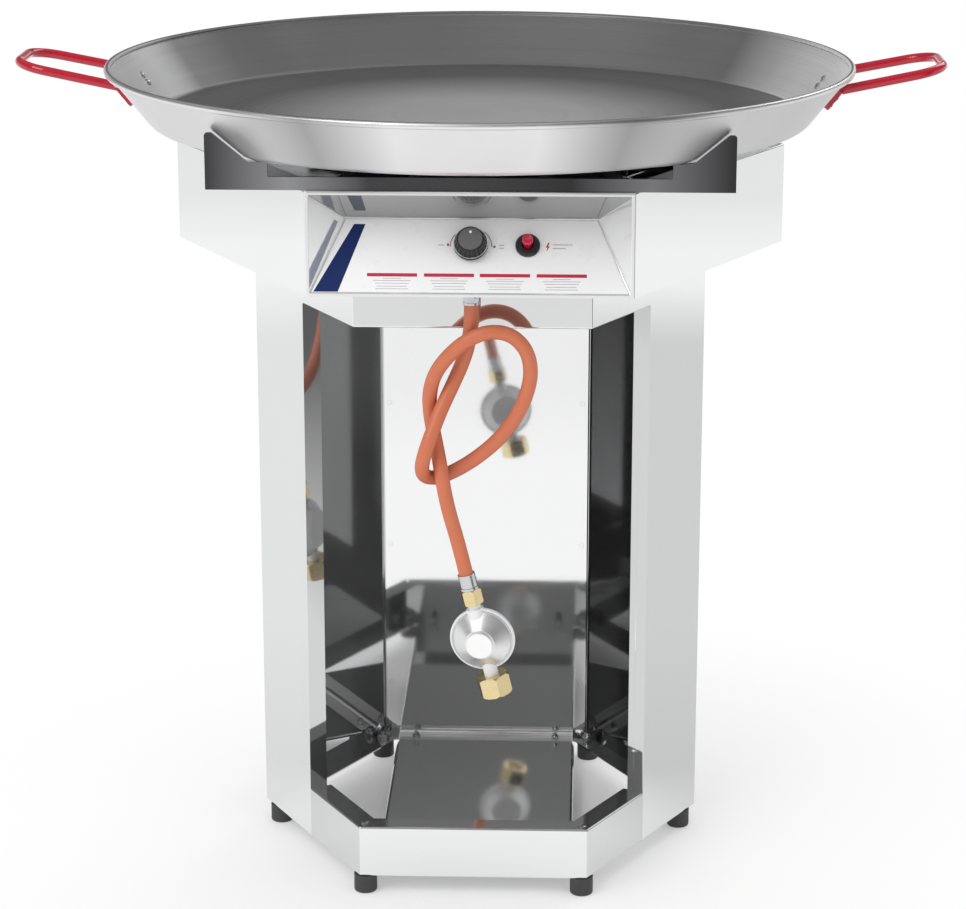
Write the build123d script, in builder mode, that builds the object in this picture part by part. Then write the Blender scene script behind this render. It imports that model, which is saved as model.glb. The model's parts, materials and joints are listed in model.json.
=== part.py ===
from build123d import *
import os
from math import asin, atan2, cos, hypot, pi, radians, sin, sqrt, tan

# Gas stand for a wide shallow pan: a hexagonal column that houses the bottle, a wider
# burner box on top of it, two pan supports and the pan. Millimetres, +Z up, the front
# faces -Y, and the origin is on the floor under the middle.

os.makedirs("parts", exist_ok=True)

# Sheet metal
sheet = 1.5  # thickness of every folded sheet
fold_radius = 3.0  # outside radius of every fold between two walls
edge_fold = 2.0  # outside radius of every fold between a wall and its inward edge
corner = cos(radians(30))  # inset of a hexagon's face over the inset of its corner

# Fits
bolt_clearance = 0.3  # radial, round bolts and pipes that pass through a sheet
running_fit = 0.05  # radial, between a piece and the bore that guides it
seat_gap = 0.1  # between a flat piece and the curved wall that it is fixed to
fit_tolerance = 0.01  # within which two places count as one

# Column
column_side = 246.0
column_height = 659.0
column_edge = 25.0  # inward edge along the bottom and top of each sheet
bottom_rail_height = 57.0
top_rail_height = 49.0
return_width = 20.0  # inward edge at the open front of a side panel
rear_lap = 18.0  # strip of a side panel that wraps on to the back
back_fold = 7.5  # outside radius of the folds along the back panel's bottom and top

# Feet
foot_height = 20.0
foot_radius = 12.5
foot_round = 2.5
front_foot_inset = 12.0  # from the column's corner to the middle of the foot
foot_inset = 19.0  # the same, at the sides and the back
foot_turn = 3.0  # of the side feet to the front, and of the back feet to the sides
stud_radius = 4.0
stud_height = 10.0
foot_nut_flats = 13.0
foot_nut_height = 6.5

# Bottle plate
plate_side_gap = 2.5  # between its long edges and the edges of the side panels
plate_lap = 15.0  # how far it lies under the edges in front of it and behind it
plate_skirt = 10.0
plate_bend = 4.0
plate_bolt_inset = 23.0  # from its long edges
plate_bolt_radius = 2.5
plate_bolt_height = 7.0
plate_nut_flats = 8.0
plate_nut_height = 4.0

# Screws of the sheets
screw_radius = 2.5
screw_length = 8.0
screw_head_radius = 4.6
screw_head_height = 2.4
lap_screw_count = 4
lap_screw_pitch = 175.0

# Burner box
box_side = 328.0
box_height = 106.5
box_edge = 28.0
box_lip = 10.0
floor_rim = 14.0
floor_hole_radius = 46.0
vent_length = 60.0
vent_width = 12.0
vent_pitch = 112.0  # radius of the ring of air slots
vent_count = 12

# Control fascia, with its recess
fascia_strip_side = 3.5
fascia_strip_low = 3.0
fascia_strip_high = 4.0
recess_depth = 50.25
panel_rise = 67.0  # height of the sloping control panel
recess_taper = 33.0  # how far each end of the recess leans in
recess_fold = 1.5  # inside radius of the folds in the recess
opening_fold = 1.2  # rounding of the front edges of the recess
label_thickness = 0.4
label_margin = 1.8

# Gas valve and knob
knob_up = 52.2  # along the slope from the panel's lower edge
knob_travel = 4.0
knob_lift = 5.0  # from the panel to the knob's skirt
knob_skirt_radius = 17.5
knob_skirt_height = 4.0
knob_radius = 14.0
knob_height = 15.0
knob_round = 1.2
knob_flutes = 24
knob_flute_radius = 0.9
knob_wall = 3.0
dot_radius = 1.4
dot_height = 0.4
dot_offset = 7.2
spindle_radius = 4.0
spindle_flat = 2.6  # from the spindle's axis to its flat
spindle_depth = 19.0  # behind the panel's face
spindle_hole = 4.8
sleeve_radius = 6.0
sleeve_length = 14.0
sleeve_start = 6.0
valve_gap = 4.0
valve_radius = 10.5
valve_length = 38.0
valve_boss_radius = 8.0
valve_boss_length = 22.0

# Igniter
igniter_x = 57.0
igniter_up = 53.3
igniter_travel = 7.0
bezel_radius = 12.3
bezel_height = 5.0
bezel_round = 2.0
barrel_radius = 8.5
barrel_length = 32.0
button_radius = 5.8
button_height = 18.0
button_round = 1.5
button_depth = 12.0
igniter_nut_flats = 22.0
igniter_nut_height = 4.0

# Burner
burner_lift = 44.0  # from the underside of the box to the underside of the rings
ring_height = 20.0
ring_width = 24.0
ring_chamfer = 6.0
outer_ring = 150.0  # mean radius
inner_ring = 75.0
spoke_width = 18.0
spoke_height = 15.0
spoke_count = 4
hub_radius = 32.0
mixer_lift = 25.0  # from the underside of the box to the mixing tube's axis
mixer_radius = 13.0
mixer_wall = 2.0
bell_radius = 15.5
bell_length = 22.0
injector_flats = 14.0
injector_length = 14.0
injector_neck_radius = 5.0
injector_neck_length = 10.0
injector_gap = 6.0  # from the nozzle to the mouth of the mixing tube
gas_pipe_radius = 4.0
gas_pipe_run = 12.0  # straight runs at the two ends of the gas pipe
bracket_sheet = 2.0
bracket_width = 30.0
bracket_foot = 18.0
bracket_head = 10.0
leg_width = 20.0
leg_angle = 45.0

# Flame sensor and ignition electrode
sensor_angle = 285.0
sensor_reach = 12.0  # from the outer ring's face
sensor_spread = 10.0
sensor_plate_width = 36.0
sensor_plate_length = 18.0
sensor_plate_drop = 8.0  # below the top of the ring
electrode_radius = 3.5
electrode_length = 30.0
electrode_pin_radius = 1.0
electrode_pin_length = 9.0
thermocouple_radius = 2.5
thermocouple_length = 34.0
holder_share = 0.6  # share of a holder that stands below its plate
lead_radius = 1.5
lead_run = 14.0
lead_level = 12.0  # over the underside of the box

# Pan supports
support_thickness = 4.0
support_setback = 4.0
support_strip = 13.2
support_block = 28.0  # height of the blocks that carry the pan
support_tip = 57.0
support_block_width = 20.0
support_tip_width = 7.0
support_foot = 18.0
support_foot_x = 150.0
support_bolt_x = 110.0
pan_clearance = 2.0

# Pan
pan_radius = 400.0
pan_base_radius = 352.0
pan_depth = 60.0
pan_sheet = 2.0
pan_bend = 12.0
rim_bead = 3.5

# Pan handles
handle_rod = 5.0  # radius
handle_spread = 58.0  # half the distance between the arms at the wall
handle_grip_spread = 54.0
handle_reach = 95.5  # from the pan's rim to the outside of the grip
handle_rise = 20.0
handle_bend = 34.0
handle_up = 41.0  # height of the arms over the pan's base
pad_length = 31.0
pad_width = 15.0
pad_thickness = 5.0
pad_drop = 10.5  # from the arm down the wall to the middle of the pad
rivet_radius = 2.5
rivet_head_radius = 4.2
rivet_head_height = 2.4
rivet_crown = 2.6
rivet_pitch = 10.0
rivet_drop = 16.0  # from the arm down the wall to the middle of the two rivets
rivet_tail = 1.0

# Hose, with the pieces on its two ends
hose_radius = 7.5
inlet_setback = 39.056  # from the front of the burner box
inlet_radius = 6.0
inlet_nut_flats = 20.0
inlet_nut_height = 6.0
ferrule_radius = 8.6
ferrule_collar = 2.5  # height of the round collars above and below the crimped band
crimp_depth = 0.7
crimp_sides = 12
end_ferrule_radius = 9.0
end_ferrule_length = 17.0
end_collar_radius = 9.9
end_collar = 2.5
hose_nut_flats = 20.0
hose_nut_length = 16.5
arc_share = 0.45  # of the shorter run beside a turn

# Route of the hose: down from the inlet, once through its own loop and down to the regulator
hose_route = [
    (0, -245, 663),
    (0, -245, 644),
    (-2.5, -240, 622.9),
    (-8.6, -233, 600.7),
    (-18.9, -235, 577.3),
    (-30.3, -246, 554.6),
    (-39.6, -257, 531.8),
    (-47, -263, 511.2),
    (-51.1, -258, 492.9),
    (-48, -245, 480.1),
    (-34.4, -233, 476.1),
    (-14.6, -228, 483.9),
    (6.1, -230, 498),
    (26.8, -235, 517.4),
    (44.3, -240, 541),
    (56.5, -244, 567.7),
    (61.5, -248, 594.4),
    (56.2, -252, 618.7),
    (39.6, -256, 635.5),
    (17, -260, 638.6),
    (-4.6, -260, 629),
    (-23, -256, 612),
    (-37.5, -248, 590.8),
    (-43.6, -238, 566.5),
    (-42.6, -231, 540.9),
    (-37.5, -236, 517.2),
    (-32.4, -248, 496.4),
    (-28.3, -257, 473.4),
    (-23, -253, 445.2),
    (-14, -250, 413),
    (-5.6, -248.5, 377.5),
]

# Regulator, hanging on the hose
neck_radius = 6.8
lug_radius = 9.0
lug_start = 39.0  # from the hose's end
nut_turn = -15.0  # of the nuts, from a corner that faces the front
nut_bevel = 0.8  # share of a nut's corners that is turned off at each end
regulator_turn = 9.0  # of its face to the left, about the hose's end
regulator_drop = 74.0  # from the hose's end to the middle of the regulator
regulator_radius = 34.4
regulator_flange = 6.0
flange_round = 2.0
bowl_radius = 21.0
bowl_depth = 13.0
cover_radius = 31.0
cover_depth = 14.0
boss_foot_radius = 15.9
disc_radius = 14.0
boss_height = 3.0
disc_margin = 0.5
disc_thickness = 0.8
tail_radius = 7.5
tail_flange_radius = 10.3
tail_flange = 4.0
union_drop = 115.0  # from the hose's end to the union nut
union_flats = 31.8
union_length = 22.0
union_wall = 4.0
union_thread_radius = 10.9
union_relief_radius = 11.6
union_gap = 0.5

# Levels, radii and directions that follow from the sizes above
column_flat = column_side * corner
column_bottom = foot_height
column_top = column_bottom + column_height
front_foot_pitch = column_side - front_foot_inset
foot_pitch = column_side - foot_inset
edge_top = column_bottom + sheet
plate_top = column_bottom
plate_free = column_flat - sheet - column_edge - bolt_clearance
plate_reach = column_flat - column_edge + plate_lap
plate_width = 2 * (column_side - column_edge / corner - plate_free * tan(radians(30)) - plate_side_gap)
left_seam = 210.0
right_seam = 330.0
seam_screw_pitch = column_flat - return_width / 2
box_flat = box_side * corner
box_bottom = column_top
box_top = box_bottom + box_height
floor_top = box_bottom + sheet
inlet_y = inlet_setback - box_flat
opening_low = box_bottom + fascia_strip_low
opening_high = box_top - fascia_strip_high
opening_half = box_side / 2 - fascia_strip_side
panel_length = hypot(recess_depth, panel_rise)
slope_run = recess_depth / panel_length
slope_rise = panel_rise / panel_length
burner_low = box_bottom + burner_lift
burner_top = burner_low + ring_height
mixer_height = box_bottom + mixer_lift
support_front = box_flat - support_setback
support_back = support_front - support_thickness
support_foot_middle = support_back - support_foot / 2
pan_base = box_top + support_block
rim_radius = pan_radius - rim_bead
rim_height = pan_depth - rim_bead
wall_run = rim_radius - pan_base_radius
wall_angle = atan2(rim_height, wall_run)

seated = (Align.CENTER, Align.CENTER, Align.MIN)
hanging = (Align.CENTER, Align.CENTER, Align.MAX)


def save(builder, name):
    """Label a finished piece and write it to its own file."""
    builder.part.label = name
    export_step(builder.part, f"parts/{name}.step")


def around(radius, angle, height):
    """Point at a radius and an angle about the middle."""
    return Vector(radius * cos(radians(angle)), radius * sin(radians(angle)), height)


def hexagon_band(side, level, width):
    """Face of a hexagonal band with a flat front and folded corners, as wide inwards as stated."""
    with BuildSketch(Plane.XY.offset(level)) as band:
        RegularPolygon(side, 6)
        fillet(band.vertices(), fold_radius)
        with BuildSketch(mode=Mode.SUBTRACT) as hollow:
            RegularPolygon(side - width / corner, 6)
            if width < fold_radius:
                fillet(hollow.vertices(), fold_radius - width)
    return band.sketch


def keep_slice(start, end):
    """Keep the slice of the piece that lies between two angles about the middle."""
    split(bisect_by=Plane((0, 0, 0), z_dir=around(1, start + 90, 0)), keep=Keep.TOP)
    split(bisect_by=Plane((0, 0, 0), z_dir=around(1, end - 90, 0)), keep=Keep.TOP)


def fold_edges(part, side, level):
    """Outer edges of a hexagonal sheet at a level, where its wall folds into its inward edge."""
    flat = side * corner
    directions = [around(1, 30 + 60 * turn, 0) for turn in range(6)]

    def on_outside(edge):
        return max(edge.center().dot(direction) for direction in directions) > flat - sheet / 2

    return part.edges().filter_by_position(Axis.Z, level - fit_tolerance, level + fit_tolerance).filter_by(
        on_outside
    )


def panel_plane(x, up):
    """Plane on the control panel's face, at a place across and up the slope, facing out."""
    origin = (x, -box_flat + up * slope_run, opening_low + up * slope_rise)
    return Plane(origin, x_dir=(1, 0, 0), z_dir=(0, -slope_rise, slope_run))


def wall_radius(height):
    """Radius of the pan's outer wall at a height over its base."""
    return pan_base_radius + wall_run * height / rim_height


def wall_plane(side, arm, along):
    """Plane on the pan's outer wall under a handle's arm, with X up the slope, facing out."""
    height = handle_up + along * sin(wall_angle)
    bearing = asin(handle_spread / wall_radius(handle_up))
    outward = Vector(side * cos(bearing), arm * sin(bearing), 0)
    up_slope = outward * cos(wall_angle) + Vector(0, 0, sin(wall_angle))
    facing = outward * sin(wall_angle) - Vector(0, 0, cos(wall_angle))
    origin = outward * wall_radius(height) + Vector(0, 0, pan_base + height)
    return Plane(origin, x_dir=up_slope, z_dir=facing)


def pipe_along(points, radius):
    """Round pipe on straight runs with arcs as large as the runs allow, its length and its arcs."""
    corners = [Vector(*point) for point in points]
    runs = [after - before for before, after in zip(corners, corners[1:])]
    turns = [radians(one.get_angle(two)) for one, two in zip(runs, runs[1:])]
    shorter = [min(one.length, two.length) for one, two in zip(runs, runs[1:])]
    arcs = [arc_share * run / tan(turn / 2) for run, turn in zip(shorter, turns)]
    with BuildPart() as pipe:
        with BuildLine() as path:
            FilletPolyline(*corners, radius=arcs)
        with BuildSketch(Plane(corners[0], z_dir=runs[0])):
            Circle(radius)
        sweep()
    return pipe, sum(edge.length for edge in path.edges()), arcs


def round_screws(places):
    """Round-headed screws, each with its head on a place's plane and its shank behind it."""
    with BuildPart() as screws:
        with Locations(*places):
            Cylinder(screw_head_radius, screw_head_height, align=seated)
            Cylinder(screw_radius, screw_length, align=hanging)
    return screws


def nutted_bolts(places, radius, below, above, flats, nut_height):
    """Bolts that come up through a sheet, each with a hexagon nut on a place's plane."""
    with BuildPart() as bolts:
        with Locations(*places):
            Cylinder(radius, below, align=hanging)
            Cylinder(radius, above, align=seated)
        for place in places:
            with BuildSketch(place):
                RegularPolygon(flats / 2, 6, major_radius=False)
            extrude(amount=nut_height)
    return bolts


def hexagon_nut(plane, flats, length):
    """Hexagon nut that stands on a plane, with its corners turned off at both ends."""
    reach = flats / 2 / corner
    with BuildPart() as turned:
        with Locations(plane):
            Cylinder(reach, length, align=seated)
        chamfer(turned.edges().filter_by(GeomType.CIRCLE), nut_bevel * (reach - flats / 2))
    with BuildPart() as nut:
        with BuildSketch(plane):
            RegularPolygon(flats / 2, 6, major_radius=False, rotation=nut_turn)
        extrude(amount=length)
        add(turned.part, mode=Mode.INTERSECT)
    return nut.part


def drilled(places, radius):
    """Drills for bolts or screws at the same places."""
    with BuildPart() as drills:
        with Locations(*places):
            Cylinder(radius + bolt_clearance, 2 * screw_length)
    return drills.part


# Places of the column's fasteners
foot_spots = [around(front_foot_pitch, angle, 0) for angle in (240, 300)]
for angle in (180 + foot_turn, -foot_turn, 120 + foot_turn, 60 - foot_turn):
    foot_spots.append(around(foot_pitch, angle, 0))
foot_places = [Plane(spot + Vector(0, 0, edge_top)) for spot in foot_spots]
plate_bolt_x = plate_width / 2 - plate_bolt_inset
plate_bolt_y = column_flat - column_edge + plate_lap / 2
plate_places = [
    Plane((x, y, edge_top))
    for x in (-plate_bolt_x, plate_bolt_x)
    for y in (-plate_bolt_y, plate_bolt_y)
]
rail_top = column_bottom + bottom_rail_height
rail_top_places = [Plane(around(front_foot_pitch, angle, rail_top)) for angle in (240, 300)]
seam_places = []
for seam, head_side in ((left_seam, -90), (right_seam, 90)):
    for level in (column_bottom + bottom_rail_height / 2, column_top - top_rail_height / 2):
        facing = around(1, seam + head_side, 0)
        seam_places.append(Plane(around(seam_screw_pitch, seam, level) + facing * sheet, z_dir=facing))
lap_screw_x = column_side / 2 - rear_lap / 2
lap_lowest = column_bottom + column_height / 2 - lap_screw_pitch * (lap_screw_count - 1) / 2
lap_levels = [lap_lowest + lap_screw_pitch * row for row in range(lap_screw_count)]
lap_places = [
    Plane((x, column_flat, level), z_dir=(0, 1, 0))
    for x in (-lap_screw_x, lap_screw_x)
    for level in lap_levels
]

foot_drills = drilled(foot_places, stud_radius)
plate_drills = drilled(plate_places, plate_bolt_radius)
rail_top_drills = drilled(rail_top_places, screw_radius)
seam_drills = drilled(seam_places, screw_radius)
lap_drills = drilled(lap_places, screw_radius)


def front_rail(bottom, height):
    """Channel across the open front, round to the middle of the two slanting front faces."""
    with BuildPart() as rail:
        extrude(hexagon_band(column_side, bottom, sheet), amount=height)
        for level in (bottom, bottom + height - sheet):
            extrude(hexagon_band(column_side, level, column_edge), amount=sheet)
        keep_slice(left_seam, right_seam)
        for level in (bottom, bottom + height):
            fillet(fold_edges(rail, column_side, level), edge_fold)
        for seam, rail_side in ((left_seam, Align.MIN), (right_seam, Align.MAX)):
            with Locations(Location((0, 0, bottom), (0, 0, seam))):
                with Locations((column_flat, 0, 0)):
                    Box(return_width, sheet, height, align=(Align.MAX, rail_side, Align.MIN))
        add(seam_drills, mode=Mode.SUBTRACT)
    return rail.part


# Front rails
with BuildPart() as front_bottom_rail:
    add(front_rail(column_bottom, bottom_rail_height))
    add(foot_drills, mode=Mode.SUBTRACT)
    add(plate_drills, mode=Mode.SUBTRACT)
    add(rail_top_drills, mode=Mode.SUBTRACT)
save(front_bottom_rail, "front_bottom_rail")

with BuildPart() as front_top_rail:
    add(front_rail(column_top - top_rail_height, top_rail_height))
save(front_top_rail, "front_top_rail")

# Side panels, folded round the side corners and on to the back
with BuildPart() as left_side_panel:
    extrude(hexagon_band(column_side, column_bottom, sheet), amount=column_height)
    for level in (column_bottom, column_top - sheet):
        extrude(hexagon_band(column_side, level, column_edge), amount=sheet)
    keep_slice(90, left_seam)
    for level in (column_bottom, column_top):
        fillet(fold_edges(left_side_panel, column_side, level), edge_fold)
    split(bisect_by=Plane((rear_lap - column_side / 2, 0, 0), z_dir=(-1, 0, 0)), keep=Keep.TOP)
    with Locations(Location((0, 0, column_bottom), (0, 0, left_seam))):
        with Locations((column_flat, 0, 0)):
            Box(return_width, sheet, column_height, align=(Align.MAX, Align.MAX, Align.MIN))
    add(foot_drills, mode=Mode.SUBTRACT)
    add(seam_drills, mode=Mode.SUBTRACT)
    add(lap_drills, mode=Mode.SUBTRACT)
save(left_side_panel, "left_side_panel")

with BuildPart() as right_side_panel:
    mirror(left_side_panel.part, about=Plane.YZ)
save(right_side_panel, "right_side_panel")

# Back panel, inside the laps of the side panels
back_width = column_side - 2 * fold_radius
back_edge_width = column_side - 2 * rear_lap - 2 * bolt_clearance
with BuildPart() as back_panel:
    with BuildSketch(Plane.YZ) as back_section:
        with Locations((column_flat - sheet, column_bottom)):
            Rectangle(column_edge, column_height, align=(Align.MAX, Align.MIN))
        fillet(back_section.vertices().group_by(Axis.X)[-1], back_fold)
        with BuildSketch(mode=Mode.SUBTRACT) as back_hollow:
            with Locations((column_flat - 2 * sheet, edge_top)):
                Rectangle(column_edge, column_height - 2 * sheet, align=(Align.MAX, Align.MIN))
            fillet(back_hollow.vertices().group_by(Axis.X)[-1], back_fold - sheet)
    extrude(amount=back_edge_width / 2, both=True)
    with Locations((0, column_flat - sheet, column_bottom + back_fold)):
        Box(back_width, sheet, column_height - 2 * back_fold, align=(Align.CENTER, Align.MAX, Align.MIN))
    add(plate_drills, mode=Mode.SUBTRACT)
    add(lap_drills, mode=Mode.SUBTRACT)
save(back_panel, "back_panel")

# Bottle plate, with its long edges folded down
with BuildPart() as bottle_plate:
    with BuildSketch(Plane.XZ) as plate_section:
        with Locations((0, plate_top)):
            Rectangle(plate_width, plate_skirt, align=(Align.CENTER, Align.MAX))
        fillet(plate_section.vertices().group_by(Axis.Y)[-1], plate_bend)
        with BuildSketch(mode=Mode.SUBTRACT) as plate_hollow:
            with Locations((0, plate_top - sheet)):
                Rectangle(plate_width - 2 * sheet, plate_skirt, align=(Align.CENTER, Align.MAX))
            fillet(plate_hollow.vertices().group_by(Axis.Y)[-1], plate_bend - sheet)
    extrude(amount=plate_free, both=True)
    with Locations((0, 0, plate_top)):
        Box(plate_width - 2 * plate_bend, 2 * plate_reach, sheet, align=hanging)
    add(plate_drills, mode=Mode.SUBTRACT)
save(bottle_plate, "bottle_plate")

# Feet and the column's fasteners
with BuildPart() as feet:
    with Locations(*foot_spots):
        Cylinder(foot_radius, foot_height, align=seated)
    fillet(feet.edges().group_by(Axis.Z)[0], foot_round)
save(feet, "feet")

foot_bolts = nutted_bolts(foot_places, stud_radius, sheet, stud_height, foot_nut_flats, foot_nut_height)
save(foot_bolts, "foot_bolts")

with BuildPart() as plate_bolts:
    add(
        nutted_bolts(
            plate_places, plate_bolt_radius, 2 * sheet, plate_bolt_height, plate_nut_flats, plate_nut_height
        ).part
    )
    with Locations(*[place.offset(-2 * sheet) for place in plate_places]):
        Cylinder(screw_head_radius, screw_head_height, align=hanging)
save(plate_bolts, "plate_bolts")

rail_screws = round_screws(seam_places + rail_top_places)
save(rail_screws, "rail_screws")

back_screws = round_screws(lap_places)
save(back_screws, "back_screws")


def box_wall(start, end):
    """Wall of the burner box between two angles, with an inward top edge and its turned-down lip."""
    with BuildPart() as wall:
        extrude(hexagon_band(box_side, box_bottom, sheet), amount=box_height)
        extrude(hexagon_band(box_side, box_top - sheet, box_edge), amount=sheet)
        lip_side = box_side - (box_edge - sheet) / corner
        extrude(hexagon_band(lip_side, box_top - box_lip, sheet), amount=box_lip)
        keep_slice(start, end)
        fillet(fold_edges(wall, box_side, box_top), edge_fold)
    return wall.part


# Bolts that hold the pan supports
support_places = [
    Plane((x, y, box_top + support_thickness))
    for x in (-support_bolt_x, support_bolt_x)
    for y in (-support_foot_middle, support_foot_middle)
]
support_drills = drilled(support_places, screw_radius)

# Burner box
with BuildPart() as box_left_wall:
    add(box_wall(120, 240))
save(box_left_wall, "box_left_wall")

with BuildPart() as box_right_wall:
    add(box_wall(-60, 60))
save(box_right_wall, "box_right_wall")

with BuildPart() as box_back_wall:
    add(box_wall(60, 120))
    add(support_drills, mode=Mode.SUBTRACT)
save(box_back_wall, "box_back_wall")

floor_side = box_side - sheet / corner
with BuildPart() as box_floor:
    with BuildSketch(Plane.XY.offset(box_bottom)) as floor_outline:
        RegularPolygon(floor_side, 6)
        fillet(floor_outline.vertices(), fold_radius)
        Circle(floor_hole_radius, mode=Mode.SUBTRACT)
        with PolarLocations(vent_pitch, vent_count):
            SlotOverall(vent_length, vent_width, mode=Mode.SUBTRACT)
        with Locations((0, inlet_y)):
            Circle(inlet_radius + bolt_clearance, mode=Mode.SUBTRACT)
    extrude(amount=sheet)
    extrude(hexagon_band(floor_side, floor_top, sheet), amount=floor_rim)
    with Locations((0, -box_flat, floor_top)):
        Box(floor_side, 4 * sheet, floor_rim, align=seated, mode=Mode.SUBTRACT)
save(box_floor, "box_floor")


def recess_wedge(grow):
    """Wedge of the control recess with its leaning ends, grown behind every face."""
    front = -box_flat
    with BuildPart() as wedge:
        with BuildSketch(Plane.YZ):
            with BuildLine():
                Polyline(
                    (front, opening_low),
                    (front + recess_depth, opening_low + panel_rise),
                    (front, opening_high),
                    close=True,
                )
            make_face()
            offset(amount=grow, kind=Kind.INTERSECTION)
        extrude(amount=box_side / 2, both=True)
        split(bisect_by=Plane((0, front, 0), z_dir=(0, 1, 0)), keep=Keep.TOP)
        for side in (-1, 1):
            lean = Vector(side * recess_depth, recess_taper, 0).normalized()
            end = Vector(side * opening_half, front, 0) + lean * grow
            split(bisect_by=Plane(end, z_dir=lean), keep=Keep.BOTTOM)
        folds = wedge.edges().filter_by(lambda edge: edge.center().Y > front + fit_tolerance)
        fillet(folds, recess_fold + grow)
    return wedge.part


def around_opening(edge):
    """True of an edge that lies on the outline of the recess's opening."""
    middle = edge.center()
    inside_x = abs(middle.X) < opening_half + fit_tolerance
    return inside_x and opening_low - fit_tolerance < middle.Z < opening_high + fit_tolerance


# Control fascia: front wall, opening and the folded recess behind it
knob_plane = panel_plane(0, knob_up)
igniter_plane = panel_plane(igniter_x, igniter_up)
with BuildPart() as control_fascia:
    add(box_wall(240, 300))
    add(recess_wedge(sheet))
    add(recess_wedge(0), mode=Mode.SUBTRACT)
    front_edges = control_fascia.edges().filter_by_position(
        Axis.Y, -box_flat - fit_tolerance, -box_flat + fit_tolerance
    )
    fillet(front_edges.filter_by(around_opening), opening_fold)
    with Locations(knob_plane):
        Cylinder(spindle_hole, 4 * sheet, mode=Mode.SUBTRACT)
    with Locations(igniter_plane):
        Cylinder(barrel_radius + bolt_clearance, 4 * sheet, mode=Mode.SUBTRACT)
    add(support_drills, mode=Mode.SUBTRACT)
save(control_fascia, "control_fascia")

# Printed label that covers the control panel
label_low = label_margin
label_high = panel_length - label_margin
label_points = []
for side, up in ((-1, label_low), (1, label_low), (1, label_high), (-1, label_high)):
    label_half = opening_half - recess_taper * up / panel_length - label_margin
    label_points.append((side * label_half, up))
with BuildPart() as control_label:
    with BuildSketch(panel_plane(0, 0)):
        with BuildLine():
            Polyline(*label_points, close=True)
        make_face()
        with Locations((0, knob_up)):
            Circle(spindle_hole, mode=Mode.SUBTRACT)
        with Locations((igniter_x, igniter_up)):
            Circle(barrel_radius + bolt_clearance, mode=Mode.SUBTRACT)
    extrude(amount=label_thickness)
save(control_label, "control_label")


def spindle_section(level, grow):
    """D-shaped section of the spindle's outer end."""
    with BuildSketch(knob_plane.offset(level)) as section:
        Circle(spindle_radius + grow)
        with Locations((0, spindle_flat + grow)):
            flat_align = (Align.CENTER, Align.MIN)
            Rectangle(4 * spindle_radius, spindle_radius, align=flat_align, mode=Mode.SUBTRACT)
    return section.sketch


# Knob, its pointer dot, the spindle and the sleeve that goes in with it
knob_bore = knob_height - knob_wall
with BuildPart() as knob:
    with BuildSketch(knob_plane.offset(knob_lift)):
        Circle(knob_skirt_radius)
    extrude(amount=knob_skirt_height)
    with BuildSketch(knob_plane.offset(knob_lift)):
        Circle(knob_radius)
        with PolarLocations(knob_radius, knob_flutes):
            Circle(knob_flute_radius, mode=Mode.SUBTRACT)
    extrude(amount=knob_height - knob_round)
    with BuildSketch(knob_plane.offset(knob_lift + knob_height - knob_round)):
        Circle(knob_radius)
    extrude(amount=knob_round, taper=45)
    extrude(spindle_section(knob_lift, running_fit), amount=knob_bore, mode=Mode.SUBTRACT)
save(knob, "knob")

with BuildPart() as knob_dot:
    with BuildSketch(knob_plane.offset(knob_lift + knob_height)):
        with Locations((0, dot_offset)):
            Circle(dot_radius)
    extrude(amount=dot_height)
save(knob_dot, "knob_dot")

with BuildPart() as valve_spindle:
    with BuildSketch(knob_plane.offset(-spindle_depth)):
        Circle(spindle_radius)
    extrude(amount=spindle_depth + knob_lift - running_fit)
    extrude(spindle_section(knob_lift - running_fit, 0), amount=knob_bore)
save(valve_spindle, "valve_spindle")

with BuildPart() as valve_sleeve:
    with BuildSketch(knob_plane.offset(-sleeve_start)):
        Circle(sleeve_radius)
        Circle(spindle_radius + running_fit, mode=Mode.SUBTRACT)
    extrude(amount=-sleeve_length)
save(valve_sleeve, "valve_sleeve")

# Gas valve, fixed by its inlet pipe to the floor of the box
valve_end = knob_plane.origin - knob_plane.z_dir * (valve_gap + valve_length)
inlet_depth = (inlet_y - knob_plane.origin.Y) / slope_rise
inlet_top = knob_plane.origin.Z - inlet_depth * slope_run
valve_bore = sleeve_start - valve_gap + sleeve_length + 2 * knob_travel
inlet_end = box_bottom - inlet_nut_height
boss_low = inlet_top - valve_boss_length
with BuildPart() as gas_valve:
    with BuildSketch(knob_plane.offset(-valve_gap)):
        Circle(valve_radius)
    extrude(amount=-valve_length)
    with Locations((0, inlet_y, boss_low)):
        Cylinder(valve_boss_radius, inlet_top - valve_boss_radius - boss_low, align=seated)
    with BuildSketch(knob_plane.offset(-valve_gap)):
        Circle(sleeve_radius + running_fit)
    extrude(amount=-valve_bore, mode=Mode.SUBTRACT)
save(gas_valve, "gas_valve")

with BuildPart() as inlet_pipe:
    with Locations((0, inlet_y, inlet_end)):
        Cylinder(inlet_radius, boss_low - inlet_end, align=seated)
save(inlet_pipe, "inlet_pipe")

with BuildPart() as inlet_nut:
    add(hexagon_nut(Plane((0, inlet_y, inlet_end)), inlet_nut_flats, inlet_nut_height))
    with Locations((0, inlet_y, inlet_end)):
        Cylinder(inlet_radius + running_fit, inlet_nut_height, align=seated, mode=Mode.SUBTRACT)
save(inlet_nut, "inlet_nut")

# Igniter: barrel through the panel, nut behind it, bezel and push button in front
with BuildPart() as igniter_barrel:
    with BuildSketch(igniter_plane.offset(-barrel_length)):
        Circle(barrel_radius)
    extrude(amount=barrel_length + label_thickness)
    with BuildSketch(igniter_plane.offset(label_thickness)):
        Circle(button_radius + running_fit)
    extrude(amount=-(button_depth + igniter_travel + 2 * label_thickness), mode=Mode.SUBTRACT)
save(igniter_barrel, "igniter_barrel")

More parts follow.
